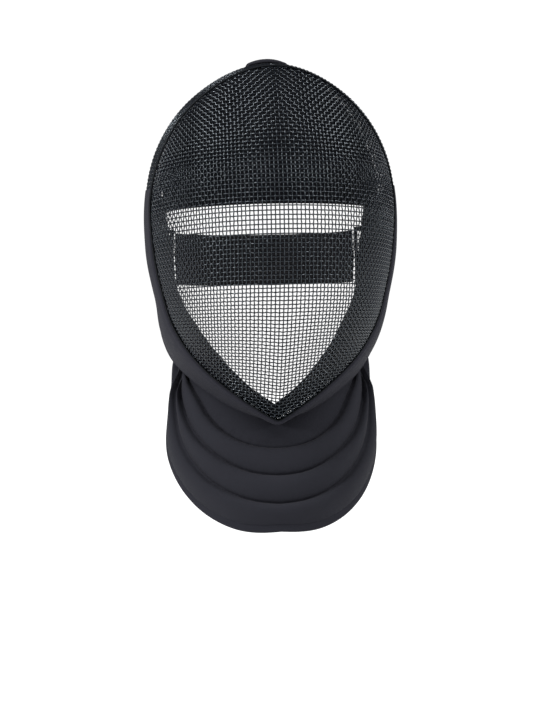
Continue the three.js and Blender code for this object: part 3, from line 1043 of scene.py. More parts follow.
@dataclass
class WovenBowl:
    """The face: one square-meshed cloth of wire, drawn over the bowl without stretching a wire.

    Columns and rows are counted from the middle of the level row. The crossings are found by turns of
    guess and nudge, and one that stays off its place is left out.
    """

    wire: float = 1.0
    pitch_across: float = 3.2
    pitch_down: float = 3.45
    level_row: float = -163.0
    columns: int = 54
    up: int = 62
    down: int = 50
    end_share: float = 0.996
    sides: int = 5
    walk_points: int = 6000
    walk_slack: float = 1.3
    turns: int = 8
    nudge: float = 1e-3
    longest_move: float = 1.5
    near_enough: float = 0.02
    rim: Rim = field(default_factory=Rim)

    def walk(
        self, step: float, count: int, going: tuple[float, float], start: tuple[float, float]
    ) -> Array:
        """Points a wire's pitch apart along a straight cut of the bowl.

        Args:
            step: the pitch, in mm.
            count: how many steps.
            going: the cut's direction in the front view.
            start: where it starts in the front view.

        Returns:
            x and z of each point.
        """
        fine = np.linspace(0, self.walk_slack * step * count, self.walk_points)
        x, z = start[0] + going[0] * fine, start[1] + going[1] * fine
        at = np.interp(np.arange(count + 1) * step, along_path(self.rim.point(x, z)), fine)
        return np.stack([start[0] + going[0] * at, start[1] + going[1] * at], axis=-1)

    def quarter(self, rows: int, heading: float) -> Array:
        """The crossings of the right half, above or below the level row.

        Each crossing is a pitch from its two neighbours nearer the middle, as in a net.

        Args:
            rows: how many rows.
            heading: 1 for the rows above the level one, -1 for those below.

        Returns:
            x and z for each column and row.
        """
        grid = np.full((self.columns + 1, rows + 1, 2), np.nan)
        grid[0] = self.walk(self.pitch_down, rows, (0, heading), (0, self.level_row))
        grid[:, 0] = self.walk(self.pitch_across, self.columns, (1, 0), (0, self.level_row))
        for total in range(2, self.columns + rows + 1):
            i = np.arange(max(1, total - rows), min(self.columns, total - 1) + 1)
            j = total - i
            a, b, c = grid[i - 1, j], grid[i, j - 1], grid[i - 1, j - 1]
            guess = a + b - c
            pa, pb = self.rim.point(a[:, 0], a[:, 1]), self.rim.point(b[:, 0], b[:, 1])
            for _ in range(self.turns):
                guess = guess + self.move(guess, pa, pb)
            good = np.abs(self.miss(guess, pa, pb)).max(axis=1) < self.near_enough
            grid[i, j] = np.where(good[:, None], guess, np.nan)
        return grid

    def move(self, guess: Array, a: Array, b: Array) -> Array:
        """How to move guessed crossings so that they are a pitch from their neighbours.

        Args:
            guess: x and z of each crossing.
            a: its neighbour across.
            b: its neighbour along the column.

        Returns:
            The change of x and z, nan where there is none to find.
        """
        miss = self.miss(guess, a, b)
        dx = (self.miss(guess + (self.nudge, 0), a, b) - miss) / self.nudge
        dz = (self.miss(guess + (0, self.nudge), a, b) - miss) / self.nudge
        det = dx[:, 0] * dz[:, 1] - dz[:, 0] * dx[:, 1]
        det = np.where(np.abs(det) < 1e-9, np.nan, det)
        move = np.stack(
            [
                (-miss[:, 0] * dz[:, 1] + dz[:, 0] * miss[:, 1]) / det,
                (-dx[:, 0] * miss[:, 1] + dx[:, 1] * miss[:, 0]) / det,
            ],
            axis=-1,
        )
        return np.clip(move, -self.longest_move, self.longest_move)

    def miss(self, at: Array, a: Array, b: Array) -> Array:
        """How far crossings are from being a pitch away from their two neighbours.

        Args:
            at: x and z of each crossing.
            a: its neighbour across.
            b: its neighbour along the column.

        Returns:
            The error of each of the two distances.
        """
        point = self.rim.point(at[:, 0], at[:, 1])
        across = np.linalg.norm(point - a, axis=1) - self.pitch_across
        down = np.linalg.norm(point - b, axis=1) - self.pitch_down
        return np.stack([across, down], axis=-1)

    def net(self) -> Array:
        """x and z of every crossing, by column from left to right and row from bottom to top."""
        upper, lower = self.quarter(self.up, 1), self.quarter(self.down, -1)
        right = np.concatenate([lower[:, :0:-1], upper], axis=1)
        left = right[:0:-1] * np.array([-1, 1])
        return np.concatenate([left, right], axis=0)

    def runs(self, net: Array, weave: float) -> list[tuple[Array, Array]]:
        """The wires along the net's second axis.

        Args:
            net: x and z of every crossing, by wire and then along it.
            weave: 1 or -1: which wire is over the other at the first crossing.

        Returns:
            For each wire, its points and the direction off the mesh there.
        """
        found = []
        lift = self.wire / 2
        for k, line in enumerate(net):
            share = self.rim.share(line[:, 0], line[:, 1])[0]
            inside = np.isfinite(share) & (share < self.end_share)
            edges = np.flatnonzero(np.diff(np.concatenate([[0], inside.astype(int), [0]])))
            for first, last in edges.reshape(-1, 2):
                at = line[first:last]
                over = weave * lift * (-1.0) ** (k + np.arange(first, last))
                if first > 0 and np.isfinite(share[first - 1]):
                    at = np.concatenate([[self.at_rim(line, share, first, first - 1)], at])
                    over = np.concatenate([[0], over])
                if last < len(line) and np.isfinite(share[last]):
                    at = np.concatenate([at, [self.at_rim(line, share, last - 1, last)]])
                    over = np.concatenate([over, [0]])
                if len(at) > 1:
                    found.append(self.lay(at, over))
        return found

    def at_rim(self, line: Array, share: Array, inner: int, outer: int) -> Array:
        """Where a wire meets the seam, between its last crossing inside and the next one.

        Args:
            line: x and z of its crossings.
            share: how much of the way to the rim each of them is.
            inner: the number of the crossing inside.
            outer: the number of the crossing outside.

        Returns:
            x and z there.
        """
        t = (self.end_share - share[inner]) / (share[outer] - share[inner])
        return line[inner] + (line[outer] - line[inner]) * t

    def lay(self, at: Array, over: Array) -> tuple[Array, Array]:
        """A wire's route through its crossings, level half way between them.

        Args:
            at: x and z of its crossings.
            over: how far out of the mesh's middle it is at each.

        Returns:
            Its points, and the direction off the mesh there.
        """
        laid = np.empty((2 * len(at) - 1, 2))
        laid[::2], laid[1::2] = at, (at[1:] + at[:-1]) / 2
        lifts = np.zeros(len(laid))
        lifts[::2] = over
        x, z = laid[:, 0], laid[:, 1]
        off = self.rim.outward(x, z)
        return self.rim.point(x, z) + off * (lifts - FORM.mesh_wall / 2)[:, None], off

    def build(self) -> None:
        """Weaves the face and dresses it."""
        net = self.net()
        for name, lines, weave in (
            ("face_wires_down", net, 1), ("face_wires_across", net.transpose(1, 0, 2), -1)
        ):
            piece = wires(name, self.runs(lines, weave), self.wire / 2, self.sides)
            finish_piece(piece, Finish.WIRE, ["front_mesh"])


@dataclass
class WovenSides:
    """The horseshoe of mesh behind the seam. Its pitch is kept at one distance behind the seam."""

    wire: float = 1.0
    pitch: float = 3.3
    pitch_kept_at: float = 30.0
    start: float = 2.0
    clear_of_edge: float = 0.5
    sides: int = 5
    walk_points: int = 7200

    def lay(self) -> tuple[Array, Array, Array]:
        """Angles a pitch apart round the seam, distances behind it, and the depth at each angle."""
        fine = np.linspace(0, 2 * np.pi, self.walk_points)
        run = along_path(FORM.side_point(fine, np.full_like(fine, self.pitch_kept_at)))
        count = 2 * round(run[-1] / self.pitch / 2)
        angle = np.interp(np.arange(count) * run[-1] / count, run, fine)
        depth = FORM.side_depth(angle)
        behind = np.arange(self.start + self.pitch / 2, depth.max(), self.pitch)
        return angle, behind, depth

    def point(self, angle: Array, behind: Array, lift: Array) -> tuple[Array, Array]:
        """Points of the side mesh's middle, and the direction off it."""
        off = FORM.seam_outward(angle)
        return FORM.side_point(angle, behind, lift - FORM.mesh_wall / 2), off

    def build(self) -> None:
        """Weaves the sides and dresses them."""
        angle, behind, depth = self.lay()
        lift = self.wire / 2
        back = []
        for k, turn in enumerate(angle):
            at = behind[behind < depth[k] - self.clear_of_edge]
            over = lift * (-1.0) ** (k + np.arange(len(at)))
            at = np.concatenate([[self.start], at, [depth[k]]])
            over = np.concatenate([[0], over, [0]])
            back.append(self.point(np.full(len(at), turn), at, over))
        round_it = []
        for j, at in enumerate(behind):
            there = depth > at + self.clear_of_edge
            over = -lift * (-1.0) ** (np.arange(len(angle)) + j)
            if there.all():
                order = np.concatenate([np.arange(len(angle)), [0]])
                round_it.append(self.point(angle[order], np.full(len(order), at), over[order]))
                continue
            turned = np.roll(np.arange(len(angle)), -int(np.flatnonzero(~there)[0]))
            mask = there[turned]
            edges = np.flatnonzero(np.diff(np.concatenate([[0], mask.astype(int), [0]])))
            for first, last in edges.reshape(-1, 2):
                order = turned[first:last]
                if len(order) > 1:
                    round_it.append(self.point(angle[order], np.full(len(order), at), over[order]))
        for name, runs in (("side_wires_back", back), ("side_wires_round", round_it)):
            piece = wires(name, runs, self.wire / 2, self.sides)
            finish_piece(piece, Finish.WIRE, ["side_mesh"])


# ---------------------------------------------------------------------------------------------
# Seam, binding, cover
# ---------------------------------------------------------------------------------------------


@dataclass
class Edges:
    """The steel strip at the seam, and the tape round the rear edge of the side mesh.

    The strip's faces are measured off the mesh's outer face, and its edges behind the seam.
    """

    strip_out: float = 0.3
    strip_in: float = -0.8
    strip_front: float = -1.1
    strip_rear: float = 1.9
    strip_round: float = 0.3
    tape_wall: float = 0.9
    tape_lip: tuple[float, float] = (0.35, 1.75)
    tape_mouth: tuple[float, float] = (1.6, 1.8)
    tape_fold: float = 3.6
    row_behind: float = 1.5
    row_lift: float = 2.2
    stitch: Stitch = Stitch(width=0.6)
    steps: int = 360

    def strip(self) -> None:
        """The strip that joins the two meshes."""

        def rule(u: Array, v: Array, side: int) -> Array:
            """A wall with rounded edges, round the seam."""
            round_off = self.strip_round * (1 - eased(v, 0.3))
            lift = self.strip_out - round_off if side else self.strip_in + round_off
            behind = self.strip_front + v * (self.strip_rear - self.strip_front)
            return FORM.side_point(u * 2 * np.pi, behind, lift)

        piece = shell("seam_edge", rule, (self.steps, 8), ring=True)
        finish_piece(piece, Finish.STRIP, ["seam_strip"])

    def binding(self) -> None:
        """The tape folded over the rear edge, with its stitches."""
        angle = np.linspace(0, 2 * np.pi, self.steps, endpoint=False)
        deep = FORM.side_depth(angle)
        edge = FORM.side_point(angle, deep, -FORM.mesh_wall / 2)
        ahead = unit(edge - FORM.side_point(angle, deep - 4.0, -FORM.mesh_wall / 2))
        off = FORM.seam_outward(angle)
        section = tape_section(self.tape_lip, self.tape_mouth, self.tape_fold)
        piece = folded_tape("rear_tape", edge, ahead, off, section, self.tape_wall, True)
        finish_piece(piece, Finish.TAPE, ["rear_binding"])
        flat = (length_of(section) * MM, length_of(np.vstack([edge, edge[:1]])) * MM)
        row = edge + ahead * self.row_behind + off * self.row_lift
        self.stitch.sew("rear_tape_stitches", row, off, "binding_tape")

    def build(self) -> None:
        """Makes both."""
        self.strip()
        self.binding()


# For each level: how far behind the seam the cover ends, and how far it stands off the mesh there.
COVER = np.array([
    (-92.0, 88, 0.0), (-135.3, 86, 0.6), (-173.3, 78, 3.0), (-190.0, 70, 9.0), (-204.9, 64, 14.0),
    (-220.7, 55, 15.5), (-233.3, 39, 12.0), (-247.4, 30, 9.5), (-260.8, 23, 6.0), (-271.5, 19, 1.5),
    (-276.4, 18, 0.3),
])


@dataclass
class SideCover:
    """Cloth over the outside of the side mesh, below the temples.

    It lies close to the mesh at the seam, stands off it towards the rear edge, and thins out towards its
    two top ends.
    """

    top: float = -92.0
    gap: float = 1.0
    wall: float = 1.6
    flare: float = 1.2
    start: float = 2.0
    edge: float = 0.12
    rise: float = 0.14
    taper: float = 0.13
    thinnest: float = 0.2
    ripple: float = 0.35
    hem_at: float = 0.93
    hem_up: float = 0.35
    hem_dent: float = 0.25
    stitch: Stitch = Stitch(length=2.4)
    steps: tuple[int, int] = (300, 48)
    deep: Callable[[Array], Array] = field(default_factory=lambda: smooth(COVER[:, 0], COVER[:, 1]))
    loose: Callable[[Array], Array] = field(default_factory=lambda: smooth(COVER[:, 0], COVER[:, 2]))

    def reach(self, angle: Array) -> Array:
        """How far back it goes."""
        return np.minimum(self.deep(FORM.level(angle)), FORM.side_depth(angle) - 0.3)

    def rule(self, u: Array, v: Array, side: int) -> Array:
        """A point of its outer or inner face.

        Args:
            u: from 0 at one top end to 1 at the other.
            v: from 0 at the seam to 1 at the rear edge.
            side: 1 for the outer face, 0 for the inner one.

        Returns:
            The point, in mm.
        """
        angle = FORM.under_chin(self.top, u)
        loose = self.loose(FORM.level(angle)) * v**self.flare
        waves = np.sin(angle * 23 + 5 * v) * np.sin(angle * 9 - 3 * v + 1)
        ripple = self.ripple * waves * v * (1 - u * (1 - u))
        dent = self.hem_dent * np.exp(-(((v - self.hem_at) / 0.008) ** 2))
        hem = self.hem_up * smoothstep(v, self.hem_at, self.hem_at + 0.02) - dent
        ends = smoothstep(np.minimum(u, 1 - u), 0.0, self.taper)
        gap = self.edge + (self.gap - self.edge) * smoothstep(v, 0.0, self.rise) * ends
        thin = self.thinnest + (1 - self.thinnest) * np.minimum(eased(v, 0.03), ends)
        lift = gap + loose + (self.wall * thin + hem if side else 0) + ripple * np.clip(loose, 0, 1)
        return FORM.side_point(angle, self.start + (self.reach(angle) - self.start) * v, lift)

    def flat_size(self, columns: int = 400, rows: int = 40) -> tuple[float, float, float]:
        """Its size laid flat.

        Args:
            columns: how many points it is measured at along the seam.
            rows: how many from the seam to the rear edge.

        Returns:
            Its width, its length and its area, in mm.
        """
        u, v = np.linspace(0, 1, columns), np.linspace(0, 1, rows)
        laid = self.rule(*[m.ravel() for m in np.meshgrid(u, v)], 1).reshape(rows, columns, 3)
        across, along = np.diff(laid, axis=0), np.diff(laid, axis=1)
        area = float(np.linalg.norm(np.cross(across[:, :-1], along[:-1]), axis=2).sum())
        length = length_of(laid[0])
        deepest = float(np.linalg.norm(across, axis=2).sum(axis=0).max())
        return max(deepest, area / length), length, area

    def build(self) -> None:
        """Cuts it, hems it and dresses it."""
        piece = shell("cover_cloth", self.rule, self.steps, pull=0.5)
        finish_piece(piece, Finish.COVER, ["side_cover"])
        wide, length, area = self.flat_size()
        u = np.linspace(0.004, 0.996, 600)
        off = FORM.seam_outward(FORM.under_chin(self.top, u))
        row = self.rule(u, np.full_like(u, self.hem_at), 1) + off * 0.05
        self.stitch.sew("cover_hem_stitches", row, off, "cover_cloth")


COVER_CLOTH = SideCover()


# ---------------------------------------------------------------------------------------------
# Bib
# ---------------------------------------------------------------------------------------------

# For each sewn line below the top edge, the hem's last: how far it is from the point between the tips
# at each of these angles, from a tip (0) to straight down (90), its y in front, and the share of the
# full height that the roll above it has.
BIB_ANGLES = (0, 15, 30, 45, 60, 75, 90)
BIB_LINES = (
    ((72, 69, 68, 71, 73.5, 74, 74), -31, 0.3),
    ((73, 76, 82, 88, 91.5, 94, 94.5), -40, 1.0),
    ((73.5, 78.5, 88, 101, 110, 114.5, 116), -46.5, 1.0),
    ((74.5, 80.5, 95, 116.5, 129.5, 134.5, 132), -50, 1.0),
)


@dataclass
class Bib:
    """The quilted bib: rolls of padding between sewn lines, bound at the hem.

    A sag under 1 makes a roll fullest above its middle, and slope away below. The angle round the bib
    goes from 0 degrees at one tip to 180 at the other.
    """

    tips: float = -225.4
    tuck_behind: float = 7.0
    tuck_under: float = 3.5
    tuck_off: float = 3.3
    spread: float = 0.725
    half_width: float = 94.0
    back_y: float = 76.0
    tip_back: float = 18.5
    wall: float = 4.0
    end: float = 2.5
    roll_out: float = 6.0
    roll_in: float = 1.25
    fullness: float = 0.7
    sag: float = 0.56
    tip_share: float = 0.35
    tip_degrees: float = 30.0
    sink: float = 0.9
    sink_width: float = 0.035
    pucker: float = 0.22
    small_pucker: float = 0.14
    pucker_width: float = 0.22
    thin_edge: float = 0.4
    steps: tuple[int, int] = (260, 128)
    hem_wall: float = 1.0
    hem_at: float = 0.9999
    hem_lip: tuple[float, float] = (-2.8, 2.4)
    hem_mouth: tuple[float, float] = (0.4, 2.0)
    hem_fold: float = 3.2
    hem_row_up: float = 1.4
    hem_row_lift: float = 2.8
    stitch: Stitch = Stitch()
    reach: list[Callable[[Array], Array]] = field(
        default_factory=lambda: [smooth(BIB_ANGLES, line[0]) for line in BIB_LINES]
    )

    def top_line(self, turn: Array) -> Array:
        """The top edge, tucked behind the cover's rear edge."""
        side = np.where(turn <= 90, 1, -1)
        share = np.abs(1 - turn / 90) ** self.spread
        angle = np.pi - side * (np.pi - FORM.angle_at(self.tips)) * share
        z = FORM.level(angle)
        lift = np.maximum(COVER_CLOTH.gap + COVER_CLOTH.loose(z) - self.tuck_under, self.tuck_off)
        return FORM.side_point(angle, COVER_CLOTH.deep(z) + self.tuck_behind, lift)

    def line(self, number: int, turn: Array) -> Array:
        """One of its sewn lines, the last one the hem's."""
        if number == 0:
            return self.top_line(turn)
        _, front, _ = BIB_LINES[number - 1]
        reach = self.reach[number - 1](np.where(turn <= 90, turn, 180 - turn))
        angle = np.radians(turn)
        x = -reach * np.cos(angle)
        bow = 1 - np.sqrt(np.maximum(1 - (x / self.half_width) ** 2, 0))
        y = front + (self.back_y - front) * bow + self.tip_back * np.abs(np.cos(angle)) ** 3
        return np.stack([x, y, self.tips - reach * np.sin(angle)], axis=-1)

    def sheet(self, turn: Array, down: Array) -> Array:
        """A point of the middle sheet: 0 to 180 degrees round, 0 to 1 down."""
        count = len(BIB_LINES)
        lines = np.stack([self.line(k, turn) for k in range(count + 1)])
        k = np.clip((down * count).astype(int), 0, count - 1)
        t = (down * count - k)[:, None]
        index = np.arange(len(turn))
        return lines[k, index] * (1 - t) + lines[k + 1, index] * t

    def outward(self, turn: Array, down: Array) -> Array:
        """The direction out of the bib."""
        step, slide = 0.6, 0.012
        a, d = np.clip(turn, step, 180 - step), np.clip(down, slide, 1 - slide)
        across = self.sheet(a + step, d) - self.sheet(a - step, d)
        along = self.sheet(a, d + slide) - self.sheet(a, d - slide)
        return unit(np.cross(along, across))

    def rule(self, u: Array, v: Array, side: int) -> Array:
        """A point of its outer or inner face, with rolls, and puckers at the sewn lines.

        Args:
            u: from 0 at one tip to 1 at the other.
            v: from 0 at the top edge to 1 at the hem.
            side: 1 for the outer face, 0 for the inner one.

        Returns:
            The point, in mm.
        """
        turn = self.end + (180 - 2 * self.end) * u
        count = len(BIB_LINES)
        k = np.clip((v * count).astype(int), 0, count - 1)
        roll = np.array([line[2] for line in BIB_LINES])[k]
        phase = v * count - k
        swell = roll * np.abs(np.sin(phase**self.sag * np.pi)) ** self.fullness
        from_tip = 90 - np.abs(turn - 90)
        full = swell * np.minimum(1, from_tip / self.tip_degrees + self.tip_share)
        from_line = np.minimum(phase, 1 - phase)
        large = self.pucker * np.sin(turn * 1.9 + 2.1 * k) * np.sin(turn * 0.83 + k)
        small = self.small_pucker * np.sin(turn * 3.7 + 1.3 * k + 4 * phase)
        pucker = np.exp(-((from_line / self.pucker_width) ** 2)) * (large + small)
        sewn = (v > 0.02) & (v < 0.98)
        crease = self.sink * np.exp(-((from_line / self.sink_width) ** 2)) * sewn
        edge = eased(v, 0.012) * eased(u, 0.006)
        half = self.wall / 2 * (self.thin_edge + (1 - self.thin_edge) * edge)
        lift = half + self.roll_out * full + pucker - crease if side else -half - self.roll_in * full
        return self.sheet(turn, v) + self.outward(turn, v) * lift[:, None]

    def hem(self) -> None:
        """The tape folded round the hem, with its stitches."""
        turn = np.linspace(self.end, 180 - self.end, 420)
        edge = self.sheet(turn, np.full_like(turn, self.hem_at))
        off = self.outward(turn, np.full_like(turn, 1.0))
        down = unit(edge - self.line(len(BIB_LINES) - 1, turn))
        section = tape_section(self.hem_lip, self.hem_mouth, self.hem_fold)
        piece = folded_tape("hem_tape", edge, down, off, section, self.hem_wall, False)
        finish_piece(piece, Finish.TAPE, ["bib_hem"])
        flat = (length_of(section) * MM, length_of(edge) * MM)
        row = edge - down * self.hem_row_up + off * self.hem_row_lift
        self.stitch.sew("hem_stitches", row, off, "binding_tape")

    def build(self) -> None:
        """Quilts it and dresses it."""
        piece = shell("bib_quilt", self.rule, self.steps)
        finish_piece(piece, Finish.BIB, ["bib"])
        self.hem()
        turn = np.linspace(self.end + 3, 180 - self.end - 3, 500)
        for k in range(1, len(BIB_LINES)):
            down = np.full_like(turn, k / len(BIB_LINES))
            off = self.outward(turn, down)
            row = self.rule((turn - self.end) / (180 - 2 * self.end), down, 1) + off * ON_CLOTH
            self.stitch.sew(f"quilt_stitches_{k}", row, off, "bib_cloth")


# ---------------------------------------------------------------------------------------------
# Linings
# ---------------------------------------------------------------------------------------------


@dataclass
class CrownLining:
    """Padding round the top and front of the head, part of an ellipsoid, in five sewn channels.

    Its wall is thicker at the top than at the temples. It goes from first to last, in degrees from
    the rear over the top to the front.
    """

    half_width: float = 82.5
    half_length: float = 97.0
    height: float = 109.0
    top: float = 7.0
    temple: float = 6.0
    first: float = 84.0
    last: float = 181.0
    end: float = 9.0
    channels: int = 5
    channel_depth: float = 0.5
    channel_fullness: float = 0.6
    steps: tuple[int, int] = (150, 110)

    def rule(self, u: Array, v: Array, side: int) -> Array:
        """A point of its outer or inner face.

        Args:
            u: from 0 at one temple to 1 at the other.
            v: from 0 at its rear edge to 1 at its front edge.
            side: 1 for the outer face, 0 for the inner one.

        Returns:
            The point, in mm.
        """
        across = np.radians(self.end + (180 - 2 * self.end) * u)
        edge = eased(v, 0.03) * eased(u, 0.02)
        wall = self.temple + (self.top - self.temple) * np.sin(across) ** 4
        swell = np.abs(np.sin(v * self.channels * np.pi)) ** self.channel_fullness
        quilt = self.channel_depth * swell - self.channel_depth
        lift = wall * (0.5 + 0.5 * edge) + quilt if side else wall * (0.5 - 0.5 * edge)
        over = np.radians(self.first + (self.last - self.first) * v)
        return np.stack(
            [
                -(self.half_width + lift) * np.cos(across),
                (self.half_length + lift) * np.sin(across) * np.cos(over),
                -self.height + (self.height + lift) * np.sin(across) * np.sin(over),
            ],
            axis=-1,
        )

    def build(self) -> None:
        """Makes it and dresses it."""
        piece = shell("crown_padding", self.rule, self.steps, pull=0.4)
        finish_piece(piece, Finish.LINING, ["crown_lining"])


@dataclass
class SideLining:
    """Padding inside the side mesh, from the temples round under the chin.

    It starts behind the seam, ends before the rear edge, and is thinner at both of those edges.
    """

    top: float = -92.0
    start: float = 9.0
    end: float = 2.0
    edge: float = 0.65
    gap: float = 1.0
    steps: tuple[int, int] = (260, 56)

    def rule(self, u: Array, v: Array, side: int) -> Array:
        """A point of its outer or inner face.

        Args:
            u: from 0 at one temple to 1 at the other, under the chin.
            v: from 0 at its front edge to 1 at its rear edge.
            side: 1 for the outer face, 0 for the inner one.

        Returns:
            The point, in mm.
        """
        angle = FORM.under_chin(self.top, u)
        behind = self.start + (FORM.side_depth(angle) - self.end - self.start) * v
        full = self.edge + (1 - self.edge) * np.sin(np.pi * v)
        swell = FORM.table["pad"](FORM.level(angle)) * full
        ends = eased(v, 0.06) * eased(u, 0.012)
        if side:
            lift = -FORM.mesh_wall - self.gap - (1 - ends) * swell * 0.4
        else:
            lift = -FORM.mesh_wall - self.gap - swell * (0.5 + 0.5 * ends)
        return FORM.side_point(angle, behind, lift)

    def build(self) -> None:
        """Makes it and dresses it."""
        piece = shell("side_padding", self.rule, self.steps, pull=0.4)
        finish_piece(piece, Finish.LINING, ["side_lining"])


# ---------------------------------------------------------------------------------------------
# Strap and tongue
# ---------------------------------------------------------------------------------------------


def catmull(points: Array, count: int) -> Array:
    """Evenly spaced points on a smooth curve through some points.

    Args:
        points: what it goes through.
        count: how many points to return.

    Returns:
        The points.
    """
    knots = np.concatenate([[0], (np.linalg.norm(np.diff(points, axis=0), axis=1) ** 0.5).cumsum()])
    fine = np.linspace(0, knots[-1], 2000)
    axes = range(points.shape[1])
    dense = np.stack([smooth(knots, points[:, k])(fine) for k in axes], axis=-1)
    along = along_path(dense)
    want = np.linspace(0, along[-1], count)
    return np.stack([np.interp(want, along, dense[:, k]) for k in axes], axis=-1)


def curve_at(line: Array, share: Array) -> tuple[Array, Array, Array, Array]:
    """Places on a flat curve.

    Args:
        line: evenly spaced points of the curve, a pair each.
        share: how far along it, from 0 to 1.

    Returns:
        The two coordinates there, and the two parts of the curve's direction.
    """
    number = np.arange(len(line))
    way = unit(np.gradient(line, axis=0))
    at = share * number[-1]
    return tuple(np.interp(at, number, side[:, k]) for side in (line, way) for k in (0, 1))


@dataclass
class BackStrap:
    """Wide elastic round the back of the head, sewn to a flat loop at each side.

    Its plan is x and y of half its route, from a loop to the middle of the back.
    """

    top: float = -119.5
    bottom: float = -163.5
    wall: float = 2.6
    plan: tuple[tuple[float, float], ...] = ((75.4, 65.5), (67, 77), (48, 91), (24, 98.5), (0, 101))
    route_points: int = 400
    thin_edge: float = 0.35
    ribs: int = 11
    rib_depth: float = 0.12
    wave: float = 0.25
    sewn_at: tuple[float, ...] = (0.045, 0.06, 0.94, 0.955)
    stitch: Stitch = Stitch(length=2.0, gap=0.7, width=0.6)
    loop_bar: float = 3.0
    loop_round: float = 0.7

    def rule(self, u: Array, v: Array, side: int) -> Array:
        """A point of the strap's outer or inner face.

        Args:
            u: from 0 at one end to 1 at the other.
            v: from 0 at its upper edge to 1 at its lower edge.
            side: 1 for the outer face, 0 for the inner one.

        Returns:
            The point, in mm.
        """
        half = np.array(self.plan)
        whole = np.concatenate([half * (-1, 1), half[-2::-1]])
        x, y, ax, ay = curve_at(catmull(whole, self.route_points), u)
        rim = eased(v, 0.03) * eased(u, 0.006)
        rib = self.rib_depth * np.abs(np.sin(v * self.ribs * np.pi)) - self.rib_depth
        half_wall = self.wall / 2 * (self.thin_edge + (1 - self.thin_edge) * rim)
        lift = (1 if side else -1) * (half_wall + rib)
        wave = self.wave * np.sin(u * 31) * (v - 0.5)
        return np.stack(
            [x - ay * lift, y + ax * lift, self.top + (self.bottom - self.top) * v + wave], axis=-1
        )

    def loop(self, name: str, node: str) -> None:
        """A flat steel loop: a plate with its middle cut out, thickened and rounded.

        Args:
            name: the piece's name.
            node: the CAD node that it stands for.
        """
        lo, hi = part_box(node)
        middle = (lo + hi) / 2
        size = hi - lo
        deselect()
        bpy.ops.mesh.primitive_plane_add(size=1, location=(0, 0, 0))
        piece = bpy.context.object
        piece.name = piece.data.name = name
        bar = self.loop_bar * MM
        bpy.ops.object.mode_set(mode="EDIT")
        bpy.ops.mesh.select_all(action="SELECT")
        bpy.ops.transform.resize(value=(size.x, size.z, 1))
        bpy.ops.mesh.inset(thickness=bar, depth=0, use_even_offset=True)
        bpy.ops.object.mode_set(mode="OBJECT")
        mesh = bmesh.new()
        mesh.from_mesh(piece.data)
        inner = min(mesh.faces, key=lambda face: face.calc_center_median().length)
        bmesh.ops.delete(mesh, geom=[inner], context="FACES_ONLY")
        mesh.to_mesh(piece.data)
        mesh.free()
        flat = coordinates(piece)
        place(piece, np.stack([flat[:, 0], flat[:, 2], flat[:, 1]], axis=-1) + np.array(middle))
        apply(piece, "SOLIDIFY", thickness=size.y, offset=0.0)
        apply(piece, "BEVEL", width=self.loop_round * MM, segments=3, limit_method="ANGLE")
        face_outwards(piece)
        pick(piece)
        bpy.ops.object.shade_smooth_by_angle(angle=math.radians(40))
        finish_piece(piece, Finish.STEEL, [node])

    def build(self) -> None:
        """Makes the strap, its stitches and its loops."""
        piece = shell("elastic_strap", self.rule, (160, 44))
        finish_piece(piece, Finish.ELASTIC, ["back_strap"])
        u = np.linspace(0, 1, 200)
        run = length_of(self.rule(u, np.full_like(u, 0.5), 1))
        v = np.linspace(0.05, 0.95, 60)
        for k, share in enumerate(self.sewn_at):
            u = np.full_like(v, share)
            row = self.rule(u, v, 1)
            off = unit(row - self.rule(u, v, 0))
            self.stitch.sew(f"strap_stitches_{k + 1}", row + off * ON_CLOTH, off, "elastic")
        for hand in ("left", "right"):
            self.loop(f"loop_{hand}", f"strap_loop_{hand}")


